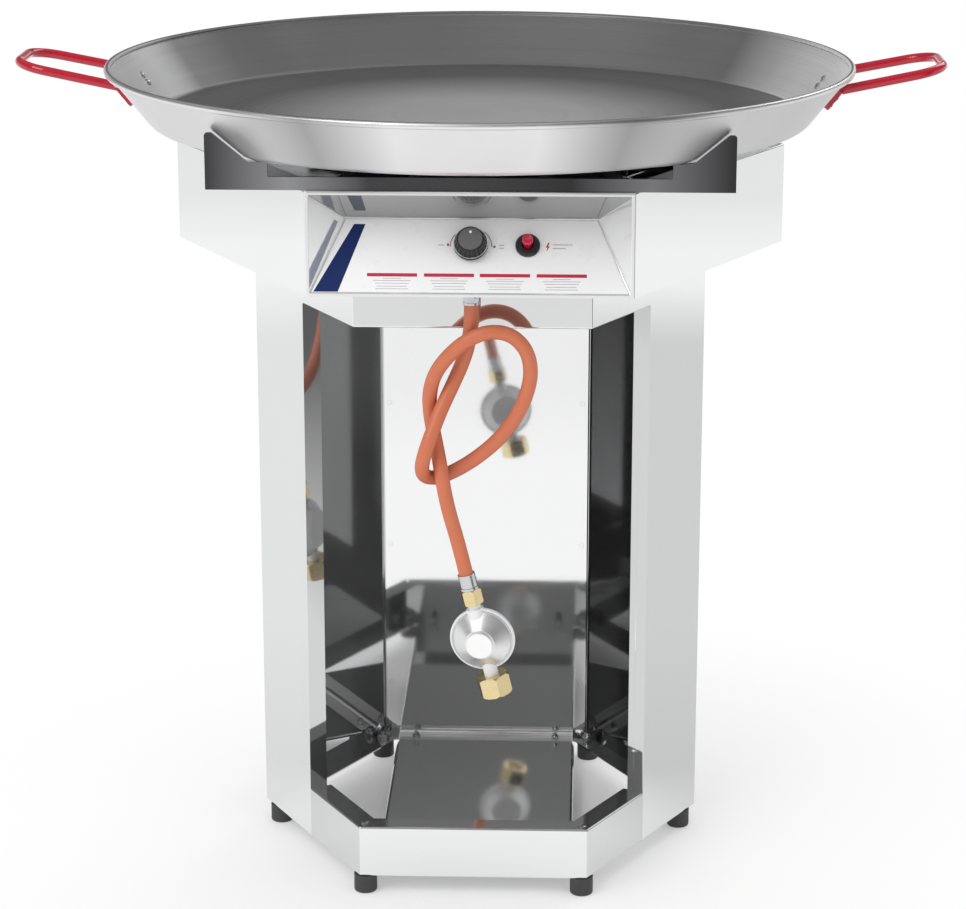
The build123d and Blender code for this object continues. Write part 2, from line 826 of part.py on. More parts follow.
with BuildPart() as igniter_nut:
    with BuildSketch(igniter_plane.offset(-sheet)):
        RegularPolygon(igniter_nut_flats / 2, 6, major_radius=False)
        Circle(barrel_radius + running_fit, mode=Mode.SUBTRACT)
    extrude(amount=-igniter_nut_height)
save(igniter_nut, "igniter_nut")

with BuildPart() as igniter_bezel:
    with BuildSketch(igniter_plane.offset(label_thickness)):
        Circle(bezel_radius)
    extrude(amount=bezel_height - bezel_round)
    bezel_face = igniter_bezel.faces().sort_by(Axis(igniter_plane.origin, igniter_plane.z_dir))[-1]
    extrude(bezel_face, amount=bezel_round, taper=45)
    with BuildSketch(igniter_plane.offset(label_thickness)):
        Circle(button_radius + bolt_clearance)
    extrude(amount=bezel_height, mode=Mode.SUBTRACT)
save(igniter_bezel, "igniter_bezel")

with BuildPart() as igniter_button:
    with BuildSketch(igniter_plane.offset(-button_depth)):
        Circle(button_radius)
    extrude(amount=button_depth + button_height)
    fillet(igniter_button.edges().sort_by(Axis(igniter_plane.origin, igniter_plane.z_dir))[-1], button_round)
save(igniter_button, "igniter_button")


def burner_ring(mean_radius):
    """Section of a ring of the burner, with chamfered upper edges."""
    with BuildSketch(Plane.XZ) as section:
        with Locations((mean_radius, burner_low)):
            Rectangle(ring_width, ring_height, align=(Align.CENTER, Align.MIN))
        chamfer(section.vertices().group_by(Axis.Y)[-1], ring_chamfer)
    return section.sketch


# Burner: two rings on spokes from a hub that the mixing tube feeds
hub_low = mixer_height - mixer_radius - mixer_wall
with BuildPart() as burner:
    for mean_radius in (outer_ring, inner_ring):
        revolve(burner_ring(mean_radius), axis=Axis.Z)
    with Locations((0, 0, burner_low)):
        with PolarLocations(0, spoke_count):
            Box(outer_ring, spoke_width, spoke_height, align=(Align.MIN, Align.CENTER, Align.MIN))
    with Locations((0, 0, hub_low)):
        Cylinder(hub_radius, burner_low + ring_height - hub_low, align=seated)
save(burner, "burner")

# Mixing tube, from its bell mouth under the outer ring to the hub
mouth_y = -outer_ring
mouth_plane = Plane((0, mouth_y, mixer_height), x_dir=(1, 0, 0), z_dir=(0, 1, 0))
hub_meets = sqrt(hub_radius**2 - mixer_radius**2)
with BuildPart() as mixing_tube:
    with BuildSketch(mouth_plane):
        Circle(bell_radius)
    with BuildSketch(mouth_plane.offset(bell_length)):
        Circle(mixer_radius)
    loft()
    with BuildSketch(mouth_plane.offset(bell_length)):
        Circle(mixer_radius)
    extrude(amount=outer_ring - bell_length - hub_meets + mixer_wall)
    with BuildSketch(mouth_plane):
        Circle(mixer_radius - mixer_wall)
    extrude(amount=outer_ring, mode=Mode.SUBTRACT)
    with Locations((0, 0, hub_low)):
        Cylinder(hub_radius + bolt_clearance, 4 * mixer_radius, align=seated, mode=Mode.SUBTRACT)
save(mixing_tube, "mixing_tube")

# Injector on its bracket, and the gas pipe that feeds it
injector_y = mouth_y - injector_gap - injector_neck_length
injector_plane = Plane((0, injector_y, mixer_height), x_dir=(1, 0, 0), z_dir=(0, 1, 0))
with BuildPart() as injector:
    with BuildSketch(injector_plane):
        RegularPolygon(injector_flats / 2, 6, major_radius=False)
    extrude(amount=-injector_length)
    with BuildSketch(injector_plane):
        Circle(injector_neck_radius)
    extrude(amount=injector_neck_length)
save(injector, "injector")

with BuildPart() as injector_bracket:
    with Locations((0, injector_y, floor_top)):
        bracket_height = mixer_height + bracket_head - floor_top
        Box(bracket_width, bracket_sheet, bracket_height, align=(Align.CENTER, Align.MIN, Align.MIN))
        Box(bracket_width, bracket_foot, bracket_sheet, align=(Align.CENTER, Align.MIN, Align.MIN))
    with BuildSketch(injector_plane):
        Circle(injector_neck_radius + running_fit)
    extrude(amount=bracket_sheet, mode=Mode.SUBTRACT)
save(injector_bracket, "injector_bracket")

pipe_end = Vector(0, injector_y - injector_length, mixer_height)
gas_pipe, _, _ = pipe_along(
    [
        valve_end,
        valve_end - knob_plane.z_dir * gas_pipe_run,
        pipe_end - Vector(0, gas_pipe_run, 0),
        pipe_end,
    ],
    gas_pipe_radius,
)
save(gas_pipe, "gas_pipe")

# Legs that carry the burner on the floor of the box
with BuildPart() as leg:
    with BuildSketch(Plane.XZ):
        with BuildLine():
            Polyline(
                (outer_ring, floor_top),
                (outer_ring + bracket_foot, floor_top),
                (outer_ring + bracket_foot, floor_top + bracket_sheet),
                (outer_ring + bracket_sheet, floor_top + bracket_sheet),
                (outer_ring + bracket_sheet, burner_low),
                (outer_ring - bracket_head, burner_low),
                (outer_ring - bracket_head, burner_low - bracket_sheet),
                (outer_ring, burner_low - bracket_sheet),
                close=True,
            )
        make_face()
    extrude(amount=leg_width / 2, both=True)
with BuildPart() as burner_legs:
    with PolarLocations(0, 4, start_angle=leg_angle):
        add(leg.part)
save(burner_legs, "burner_legs")

# Electrode and flame sensor, held by a plate on the outer ring
ring_face = outer_ring + ring_width / 2
sensor_level = burner_top - sensor_plate_drop
sensor_across = around(sensor_spread, sensor_angle + 90, 0)
electrode_foot = around(ring_face + sensor_reach, sensor_angle, sensor_level) + sensor_across
thermocouple_foot = around(ring_face + sensor_reach, sensor_angle, sensor_level) - sensor_across
electrode_low = sensor_level - electrode_length * holder_share
thermocouple_low = sensor_level - thermocouple_length * holder_share
with BuildPart() as sensor_plate:
    with Locations(Location((0, 0, sensor_level), (0, 0, sensor_angle))):
        with Locations((sqrt(ring_face**2 - sensor_plate_width**2 / 4), 0, 0)):
            plate_align = (Align.MIN, Align.CENTER, Align.MIN)
            Box(sensor_plate_length, sensor_plate_width, bracket_sheet, align=plate_align)
    with Locations((0, 0, burner_low)):
        Cylinder(ring_face, ring_height, align=seated, mode=Mode.SUBTRACT)
    with Locations(electrode_foot):
        Cylinder(electrode_radius + running_fit, 4 * bracket_sheet, mode=Mode.SUBTRACT)
    with Locations(thermocouple_foot):
        Cylinder(thermocouple_radius + running_fit, 4 * bracket_sheet, mode=Mode.SUBTRACT)
save(sensor_plate, "sensor_plate")

with BuildPart() as electrode:
    with Locations((electrode_foot.X, electrode_foot.Y, electrode_low)):
        Cylinder(electrode_radius, electrode_length, align=seated)
        Cylinder(electrode_pin_radius, electrode_length + electrode_pin_length, align=seated)
save(electrode, "electrode")

with BuildPart() as thermocouple:
    with Locations((thermocouple_foot.X, thermocouple_foot.Y, thermocouple_low)):
        Cylinder(thermocouple_radius, thermocouple_length, align=seated)
save(thermocouple, "thermocouple")

lead_height = box_bottom + lead_level
igniter_end = igniter_plane.origin - igniter_plane.z_dir * barrel_length
lead_turn = igniter_end - igniter_plane.z_dir * lead_run
ignition_lead, _, _ = pipe_along(
    [
        igniter_end,
        lead_turn,
        (electrode_foot.X, electrode_foot.Y - lead_run, lead_height),
        (electrode_foot.X, electrode_foot.Y, lead_height + lead_run / 2),
        (electrode_foot.X, electrode_foot.Y, electrode_low),
    ],
    lead_radius,
)
save(ignition_lead, "ignition_lead")

sensor_start = valve_end + knob_plane.z_dir * valve_radius + Vector(valve_radius, 0, 0)
sensor_lead, _, _ = pipe_along(
    [
        sensor_start - Vector(valve_radius / 4, 0, 0),
        sensor_start + Vector(lead_run, 0, 0),
        (thermocouple_foot.X, thermocouple_foot.Y - lead_run, lead_height),
        (thermocouple_foot.X, thermocouple_foot.Y, lead_height + lead_run / 2),
        (thermocouple_foot.X, thermocouple_foot.Y, thermocouple_low),
    ],
    lead_radius,
)
with BuildPart() as thermocouple_lead:
    add(sensor_lead.part)
    add(gas_valve.part, mode=Mode.SUBTRACT)
save(thermocouple_lead, "thermocouple_lead")

# Pan supports: plates on edge whose blocks carry the pan and whose tips hold it in place
block_end = sqrt(wall_radius(0) ** 2 - support_back**2) + pan_clearance
block_start = block_end - support_block_width
tip_in = sqrt(wall_radius(support_tip - support_block) ** 2 - support_back**2) + pan_clearance
with BuildPart() as pan_support_front:
    with BuildSketch(Plane((0, -support_front, box_top), x_dir=(1, 0, 0), z_dir=(0, -1, 0))) as outline:
        with BuildLine():
            Polyline(
                (0, 0),
                (tip_in + support_tip_width, 0),
                (tip_in + support_tip_width, support_tip),
                (tip_in, support_tip),
                (block_end, support_block),
                (block_start, support_block),
                (block_start, support_strip),
                (0, support_strip),
                close=True,
            )
        make_face()
        fillet(outline.vertices().group_by(Axis.Y)[-1], support_tip_width / 2 - bolt_clearance)
        mirror(about=Plane.YZ)
    extrude(amount=-support_thickness)
    with Locations((0, -support_back, box_top)):
        Box(2 * support_foot_x, support_foot, support_thickness, align=(Align.CENTER, Align.MIN, Align.MIN))
    add(support_drills, mode=Mode.SUBTRACT)
save(pan_support_front, "pan_support_front")

with BuildPart() as pan_support_back:
    mirror(pan_support_front.part, about=Plane.XZ)
save(pan_support_back, "pan_support_back")

support_bolts = round_screws(support_places)
save(support_bolts, "support_bolts")

# Pan, with its rolled rim
with BuildPart() as pan:
    with BuildSketch(Plane.XZ) as pan_section:
        inner_corner = pan_base_radius - pan_sheet * tan(wall_angle / 2)
        rim_inset = pan_sheet * sin(wall_angle)
        rim_raise = pan_sheet * cos(wall_angle)
        with BuildLine():
            Polyline(
                (0, pan_base),
                (pan_base_radius, pan_base),
                (rim_radius, pan_base + rim_height),
                (rim_radius - rim_inset, pan_base + rim_height + rim_raise),
                (inner_corner, pan_base + pan_sheet),
                (0, pan_base + pan_sheet),
                close=True,
            )
        make_face()
        fillet(pan_section.vertices().sort_by_distance((pan_base_radius, pan_base))[0], pan_bend + pan_sheet)
        fillet(pan_section.vertices().sort_by_distance((inner_corner, pan_base + pan_sheet))[0], pan_bend)
        with Locations((rim_radius, pan_base + rim_height)):
            Circle(rim_bead)
    revolve(axis=Axis.Z)
    for side in (-1, 1):
        for arm in (-1, 1):
            for step in (-0.5, 0.5):
                with Locations(wall_plane(side, arm, step * rivet_pitch - rivet_drop)):
                    Cylinder(rivet_radius + seat_gap, 4 * pan_sheet, mode=Mode.SUBTRACT)
save(pan, "pan")


def pan_handle(side):
    """Handle bent from one rod, with its ends flattened on the outside of the pan's wall."""
    off_wall = seat_gap + pad_thickness / 2
    starts = {}
    for arm in (-1, 1):
        plane = wall_plane(side, arm, 0)
        starts[arm] = plane.origin + plane.z_dir * off_wall
    grip_x = side * (pan_radius + handle_reach - handle_rod)
    grip_z = pan_base + handle_up + handle_rise
    near_grip = Vector(grip_x, -handle_grip_spread, grip_z)
    far_grip = Vector(grip_x, handle_grip_spread, grip_z)
    with BuildPart() as handle:
        with BuildLine():
            FilletPolyline(starts[-1], near_grip, far_grip, starts[1], radius=handle_bend)
        with BuildSketch(Plane(starts[-1], z_dir=near_grip - starts[-1])):
            Circle(handle_rod)
        sweep()
        for arm in (-1, 1):
            with BuildSketch(wall_plane(side, arm, -pad_drop).offset(seat_gap)):
                SlotOverall(pad_length, pad_width)
                for step in (-0.5, 0.5):
                    with Locations((pad_drop - rivet_drop + step * rivet_pitch, 0)):
                        Circle(rivet_radius + seat_gap, mode=Mode.SUBTRACT)
            extrude(amount=pad_thickness)
            with Locations(wall_plane(side, arm, 0).offset(seat_gap)):
                Box(pad_length, pad_length, pad_length, align=hanging, mode=Mode.SUBTRACT)
    return handle


left_handle = pan_handle(-1)
save(left_handle, "left_handle")
right_handle = pan_handle(1)
save(right_handle, "right_handle")

# Rivets, with domed heads inside the pan
rivet_inside = pan_sheet + seat_gap
rivet_outside = seat_gap + pad_thickness
with BuildPart() as handle_rivets:
    for side in (-1, 1):
        for arm in (-1, 1):
            for step in (-0.5, 0.5):
                rivet_plane = wall_plane(side, arm, step * rivet_pitch - rivet_drop)
                with Locations(rivet_plane.offset(-rivet_inside)):
                    Cylinder(rivet_radius, rivet_inside + rivet_outside + rivet_tail, align=seated)
                    Cone(rivet_crown, rivet_head_radius, rivet_head_height, align=hanging)
                with Locations(rivet_plane.offset(rivet_outside)):
                    Cylinder(rivet_crown + rivet_tail, rivet_tail, align=seated)
save(handle_rivets, "handle_rivets")

# Hose, from the ferrule under the inlet to the ferrule on the regulator
hose_start = Vector(*hose_route[0])
ferrule_length = inlet_end - hose_start.Z
with BuildPart() as hose_top_ferrule:
    with BuildSketch(Plane(hose_start)):
        RegularPolygon(ferrule_radius - crimp_depth, crimp_sides)
    extrude(amount=ferrule_length)
    for height in (0, ferrule_length - ferrule_collar):
        with Locations(hose_start + Vector(0, 0, height)):
            Cylinder(ferrule_radius, ferrule_collar, align=seated)
save(hose_top_ferrule, "hose_top_ferrule")

gas_hose, hose_length, hose_arcs = pipe_along(hose_route, hose_radius)
save(gas_hose, "gas_hose")
print("hose arcs", [round(arc, 1) for arc in hose_arcs])
print("hose length", round(hose_length, 1))
print("hose volume over section times length", gas_hose.part.volume / (pi * hose_radius**2 * hose_length))

# Pieces on the end of the hose, along its last run
hose_end = Vector(*hose_route[-1])
flow = (hose_end - Vector(*hose_route[-2])).normalized()
front = Vector(0, -1, 0)
facing = (front - flow * front.dot(flow)).normalized()
tail_plane = Plane(hose_end, x_dir=facing, z_dir=flow)
nut_start = end_ferrule_length
neck_start = nut_start + hose_nut_length
with BuildPart() as hose_end_ferrule:
    with BuildSketch(tail_plane):
        Circle(end_ferrule_radius)
    extrude(amount=end_ferrule_length)
    with BuildSketch(tail_plane.offset(end_ferrule_length - end_collar)):
        Circle(end_collar_radius)
    extrude(amount=end_collar)
save(hose_end_ferrule, "hose_end_ferrule")

with BuildPart() as hose_nut:
    add(hexagon_nut(tail_plane.offset(nut_start), hose_nut_flats, hose_nut_length))
save(hose_nut, "hose_nut")

# Regulator: drum and necks, cone-shaped cover with a boss, and the disc on the boss
cover_facing = facing.rotate(Axis((0, 0, 0), flow), regulator_turn)
cover_plane = Plane(hose_end + flow * regulator_drop, x_dir=flow.cross(cover_facing), z_dir=cover_facing)
tail_flange_start = union_drop + union_wall + union_gap
with BuildPart() as regulator_cover:
    with Locations(cover_plane.offset(regulator_flange / 2)):
        Cone(cover_radius, boss_foot_radius, cover_depth, align=seated)
        Cylinder(disc_radius, cover_depth + boss_height, align=seated)
save(regulator_cover, "regulator_cover")

with BuildPart() as drum:
    with Locations(cover_plane):
        Cylinder(regulator_radius, regulator_flange)
    fillet(drum.edges().filter_by(GeomType.CIRCLE), flange_round)
with BuildPart() as regulator_body:
    with BuildSketch(tail_plane.offset(neck_start)):
        Circle(neck_radius)
    extrude(amount=regulator_drop - neck_start)
    with BuildSketch(tail_plane.offset(lug_start)):
        Circle(lug_radius)
    extrude(amount=regulator_drop - lug_start)
    with BuildSketch(tail_plane.offset(regulator_drop)):
        Circle(tail_radius)
    extrude(amount=tail_flange_start - regulator_drop)
    with BuildSketch(tail_plane.offset(tail_flange_start)):
        Circle(tail_flange_radius)
    extrude(amount=tail_flange)
    add(drum.part)
    with Locations(cover_plane.offset(-regulator_flange / 2)):
        Cone(bowl_radius, cover_radius, bowl_depth, align=hanging)
    with Locations(cover_plane.offset(regulator_flange / 2)):
        cover_seat = boss_foot_radius + seat_gap
        Cone(cover_radius + seat_gap, cover_seat, cover_depth, align=seated, mode=Mode.SUBTRACT)
save(regulator_body, "regulator_body")

with BuildPart() as regulator_disc:
    with Locations(cover_plane.offset(regulator_flange / 2 + cover_depth + boss_height)):
        Cylinder(disc_radius - disc_margin, disc_thickness, align=seated)
save(regulator_disc, "regulator_disc")

# Union nut for the bottle, free to turn on the regulator's tail
relief_length = 2 * union_gap + tail_flange
with BuildPart() as union_nut:
    add(hexagon_nut(tail_plane.offset(union_drop), union_flats, union_length))
    with Locations(tail_plane.offset(union_drop)):
        Cylinder(tail_radius + running_fit, union_wall, align=seated, mode=Mode.SUBTRACT)
    with Locations(tail_plane.offset(union_drop + union_wall)):
        Cylinder(union_relief_radius, relief_length, align=seated, mode=Mode.SUBTRACT)
    with Locations(tail_plane.offset(union_drop + union_wall + relief_length)):
        Cylinder(union_thread_radius, union_length, align=seated, mode=Mode.SUBTRACT)
save(union_nut, "union_nut")
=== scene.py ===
"""Looks of a gas stand with a wide pan: its finishes, small fittings, hose, studio and camera.

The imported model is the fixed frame. Every piece is in metres, in that frame, and rides on one of its bodies.
"""
import json
import logging
import math
from dataclasses import dataclass, field
from enum import Enum
from typing import Callable, Iterable, Sequence

import bmesh
import bpy
import numpy as np
from mathutils import Matrix, Vector


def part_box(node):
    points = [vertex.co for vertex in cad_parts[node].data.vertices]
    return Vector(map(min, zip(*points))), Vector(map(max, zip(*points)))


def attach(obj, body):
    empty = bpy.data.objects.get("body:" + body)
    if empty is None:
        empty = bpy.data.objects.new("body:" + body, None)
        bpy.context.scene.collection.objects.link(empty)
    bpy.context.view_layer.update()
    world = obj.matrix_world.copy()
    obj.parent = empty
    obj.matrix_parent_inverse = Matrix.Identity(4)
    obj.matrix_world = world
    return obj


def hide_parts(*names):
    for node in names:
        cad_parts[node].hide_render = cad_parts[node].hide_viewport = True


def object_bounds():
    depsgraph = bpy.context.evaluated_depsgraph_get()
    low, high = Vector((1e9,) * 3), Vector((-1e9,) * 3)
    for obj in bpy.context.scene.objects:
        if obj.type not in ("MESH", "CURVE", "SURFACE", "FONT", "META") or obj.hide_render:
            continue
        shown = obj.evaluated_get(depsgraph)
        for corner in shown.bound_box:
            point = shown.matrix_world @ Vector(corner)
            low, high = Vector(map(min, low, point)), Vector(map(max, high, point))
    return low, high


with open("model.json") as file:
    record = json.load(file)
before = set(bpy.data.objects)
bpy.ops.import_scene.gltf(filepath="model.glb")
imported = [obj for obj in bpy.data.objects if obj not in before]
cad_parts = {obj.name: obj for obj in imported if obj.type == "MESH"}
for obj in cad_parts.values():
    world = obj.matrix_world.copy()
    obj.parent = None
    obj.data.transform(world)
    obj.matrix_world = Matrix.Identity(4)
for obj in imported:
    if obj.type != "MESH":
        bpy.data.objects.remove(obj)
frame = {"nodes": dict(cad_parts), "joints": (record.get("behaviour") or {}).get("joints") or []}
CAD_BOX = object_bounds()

LOG = logging.getLogger("gas_stand")
MM = 0.001
MERGE = MM / 1000
FULL_TURN = 2 * math.pi
Pair = tuple[float, float]
Triple = tuple[float, float, float]
Colour = Triple
Socket = bpy.types.NodeSocket
Value = Socket | float | Sequence[float]
# Levels between which most of a noise lies.
NOISE: Pair = (0.3, 0.7)
# Parts of a face's normal between which it begins or ends to count as one that looks that way.
FRONTWARD: Pair = (-0.75, -0.65)
DOWNWARD: Pair = (-0.4, -0.2)
UPWARD: Pair = (0.6, 0.9)
SIDEWAYS: Pair = (0.3, 0.5)


class Body(Enum):
    """Bodies of the frame that pieces ride on."""

    CABINET = "cabinet"
    PAN = "pan"
    KNOB = "knob"
    IGNITER = "igniter_button"


class Slot(Enum):
    """Material slots of the record, one passed along with each new piece."""

    ZINC = "zinc"
    LABEL = "label_film"
    BLACK = "black_plastic"
    HOSE = "orange_rubber"
    IRON = "burner_iron"
    RED = "red_plastic"
    PAN = "pan_steel"


class Graph:
    """Builds the nodes of a tree, where an input takes a value or another node's socket."""

    def __init__(self, tree: bpy.types.NodeTree) -> None:
        """Keep the tree that the nodes go into."""
        self.tree = tree

    def give(self, entry: Socket, value: Value) -> None:
        """Set an input of a node, or link it to another node's socket."""
        if isinstance(value, Socket):
            self.tree.links.new(value, entry)
        else:
            entry.default_value = value

    def add(self, kind: str, inputs: dict[str | int, Value] | None = None, **settings: str) -> bpy.types.Node:
        """Add a node.

        Args:
            kind: Blender's name for the type of node.
            inputs: values or sockets by the input's name or number.
            settings: properties of the node itself.

        Returns:
            The new node.
        """
        node = self.tree.nodes.new(kind)
        for key, value in settings.items():
            setattr(node, key, value)
        for key, value in (inputs or {}).items():
            self.give(node.inputs[key], value)
        return node

    def math(self, operation: str, *values: Value) -> Socket:
        """Result of a Math node on values or sockets."""
        return self.add("ShaderNodeMath", dict(enumerate(values)), operation=operation).outputs[0]

    def times(self, first: Value, second: Value) -> Socket:
        """Product of two values or sockets."""
        return self.math("MULTIPLY", first, second)

    def span(self, value: Value, low: float, high: float, start: float = 0.0, end: float = 1.0) -> Socket:
        """Value carried evenly from the range start to end on to the range low to high."""
        inputs = {"Value": value, "From Min": start, "From Max": end, "To Min": low, "To Max": high}
        return self.add("ShaderNodeMapRange", inputs).outputs[0]

    def blend(self, factor: Value, first: Value, second: Value) -> Socket:
        """Colour between two colours or colour sockets."""
        return self.add("ShaderNodeMix", {0: factor, 6: first, 7: second}, data_type="RGBA").outputs[2]

    def mix(self, factor: Value, first: Value, second: Value) -> Socket:
        """Number between two numbers or sockets."""
        return self.add("ShaderNodeMix", {0: factor, 2: first, 3: second}, data_type="FLOAT").outputs[0]

    def vector(self, x: Value = 0.0, y: Value = 0.0, z: Value = 0.0) -> Socket:
        """Vector of three values or sockets."""
        return self.add("ShaderNodeCombineXYZ", {0: x, 1: y, 2: z}).outputs[0]

    def parts(self, vector: Socket) -> list[Socket]:
        """X, Y and Z of a vector."""
        return list(self.add("ShaderNodeSeparateXYZ", {0: vector}).outputs)

    def vectors(self, operation: str, *values: Value) -> Socket:
        """Vector from a Vector Math node on vectors."""
        return self.add("ShaderNodeVectorMath", dict(enumerate(values)), operation=operation).outputs["Vector"]

    def measure(self, operation: str, *values: Value) -> Socket:
        """Number from a Vector Math node on vectors."""
        return self.add("ShaderNodeVectorMath", dict(enumerate(values)), operation=operation).outputs["Value"]

    def scaled(self, vector: Value, share: Value) -> Socket:
        """Vector or colour times a number."""
        return self.add("ShaderNodeVectorMath", {0: vector, 3: share}, operation="SCALE").outputs[0]


class MaterialGraph(Graph):
    """Nodes of one material, around a Principled shader that reads Object coordinates."""

    def __init__(self, name: str) -> None:
        """Make the material with its shader and output."""
        self.material = bpy.data.materials.new(name)
        self.material.use_nodes = True
        super().__init__(self.material.node_tree)
        self.tree.nodes.clear()
        self.shader = self.add("ShaderNodeBsdfPrincipled")
        self.add("ShaderNodeOutputMaterial", {"Surface": self.shader.outputs[0]})
        self.place = self.add("ShaderNodeTexCoord").outputs["Object"]

    def set(self, **inputs: Value) -> None:
        """Set or link inputs of the shader, written with _ for each space of their names."""
        for name, value in inputs.items():
            self.give(self.shader.inputs[name.replace("_", " ")], value)

    def facing(self) -> Socket:
        """Normal of the surface."""
        return self.add("ShaderNodeNewGeometry").outputs["Normal"]

    def noise(
        self, scale: float, detail: float = 2.0, stretch: Triple = (1, 1, 1), at: Socket | None = None
    ) -> Socket:
        """Noise from 0 to 1.

        Args:
            scale: waves for each metre.
            detail: octaves.
            stretch: share of the scale along each axis.
            at: socket with the place to read, or None for Object coordinates.

        Returns:
            Socket with the noise.
        """
        place = self.add("ShaderNodeMapping", {"Vector": at or self.place, "Scale": stretch}).outputs[0]
        return self.add("ShaderNodeTexNoise", {"Vector": place, "Scale": scale, "Detail": detail}).outputs[0]

    def bump(self, height: Socket, strength: float, depth: float, below: Socket | None = None) -> Socket:
        """Normal of a surface with a fine relief, over another relief if there is one below."""
        inputs = {"Height": height, "Strength": strength, "Distance": depth}
        if below is not None:
            inputs["Normal"] = below
        return self.add("ShaderNodeBump", inputs).outputs[0]


@dataclass(frozen=True)
class Finish:
    """Finish with patches in its colour and gloss, and a fine relief."""

    name: str  # name of its material
    colour: Colour  # linear colour
    roughness: float  # roughness in the middle of its range
    metallic: float = 0.0  # 1 for bare metal
    mottle: float = 0.06  # share by which the colour varies
    spread: float = 0.05  # by how much the roughness varies
    patch: float = 25.0  # patches for each metre
    grain: float = 1200.0  # grains for each metre
    relief: float = 0.1  # strength of the fine relief
    depth: float = 0.0001  # height of the relief in metres
    coat: float = 0.0  # weight of a clear coat
    stretch: Triple = (1.0, 1.0, 1.0)  # share of the patches' scale along each axis
    gloss: float = 0.5  # level of the plain reflection, 0.5 for most plastics

    def material(self) -> bpy.types.Material:
        """The finish's material, made the first time that it is asked for."""
        found = bpy.data.materials.get(self.name)
        if found is not None:
            return found
        graph = MaterialGraph(self.name)
        self.shade(graph)
        return graph.material

    def tone(self, share: float) -> tuple[float, float, float, float]:
        """The finish's colour, lighter or darker by a share."""
        return tuple(min(1.0, part * (1 + share)) for part in self.colour) + (1.0,)

    def mottled(self, graph: MaterialGraph, noise: Socket) -> Socket:
        """The finish's colour, varied by a noise."""
        return graph.blend(noise, self.tone(-self.mottle), self.tone(self.mottle))

    def dulled(self, graph: MaterialGraph, noise: Socket, levels: Pair = NOISE) -> Socket:
        """The finish's roughness, varied by a noise between two of its levels."""
        return graph.span(noise, self.roughness - self.spread, self.roughness + self.spread, *levels)

    def shade(self, graph: MaterialGraph) -> None:
        """Lay the finish's nodes."""
        patches = graph.noise(self.patch, detail=4.0, stretch=self.stretch)
        grains = graph.noise(self.grain)
        graph.set(
            Base_Color=self.mottled(graph, patches),
            Roughness=self.dulled(graph, patches),
            Metallic=self.metallic,
            Normal=graph.bump(grains, self.relief, self.depth),
            Coat_Weight=self.coat,
            Specular_IOR_Level=self.gloss,
        )


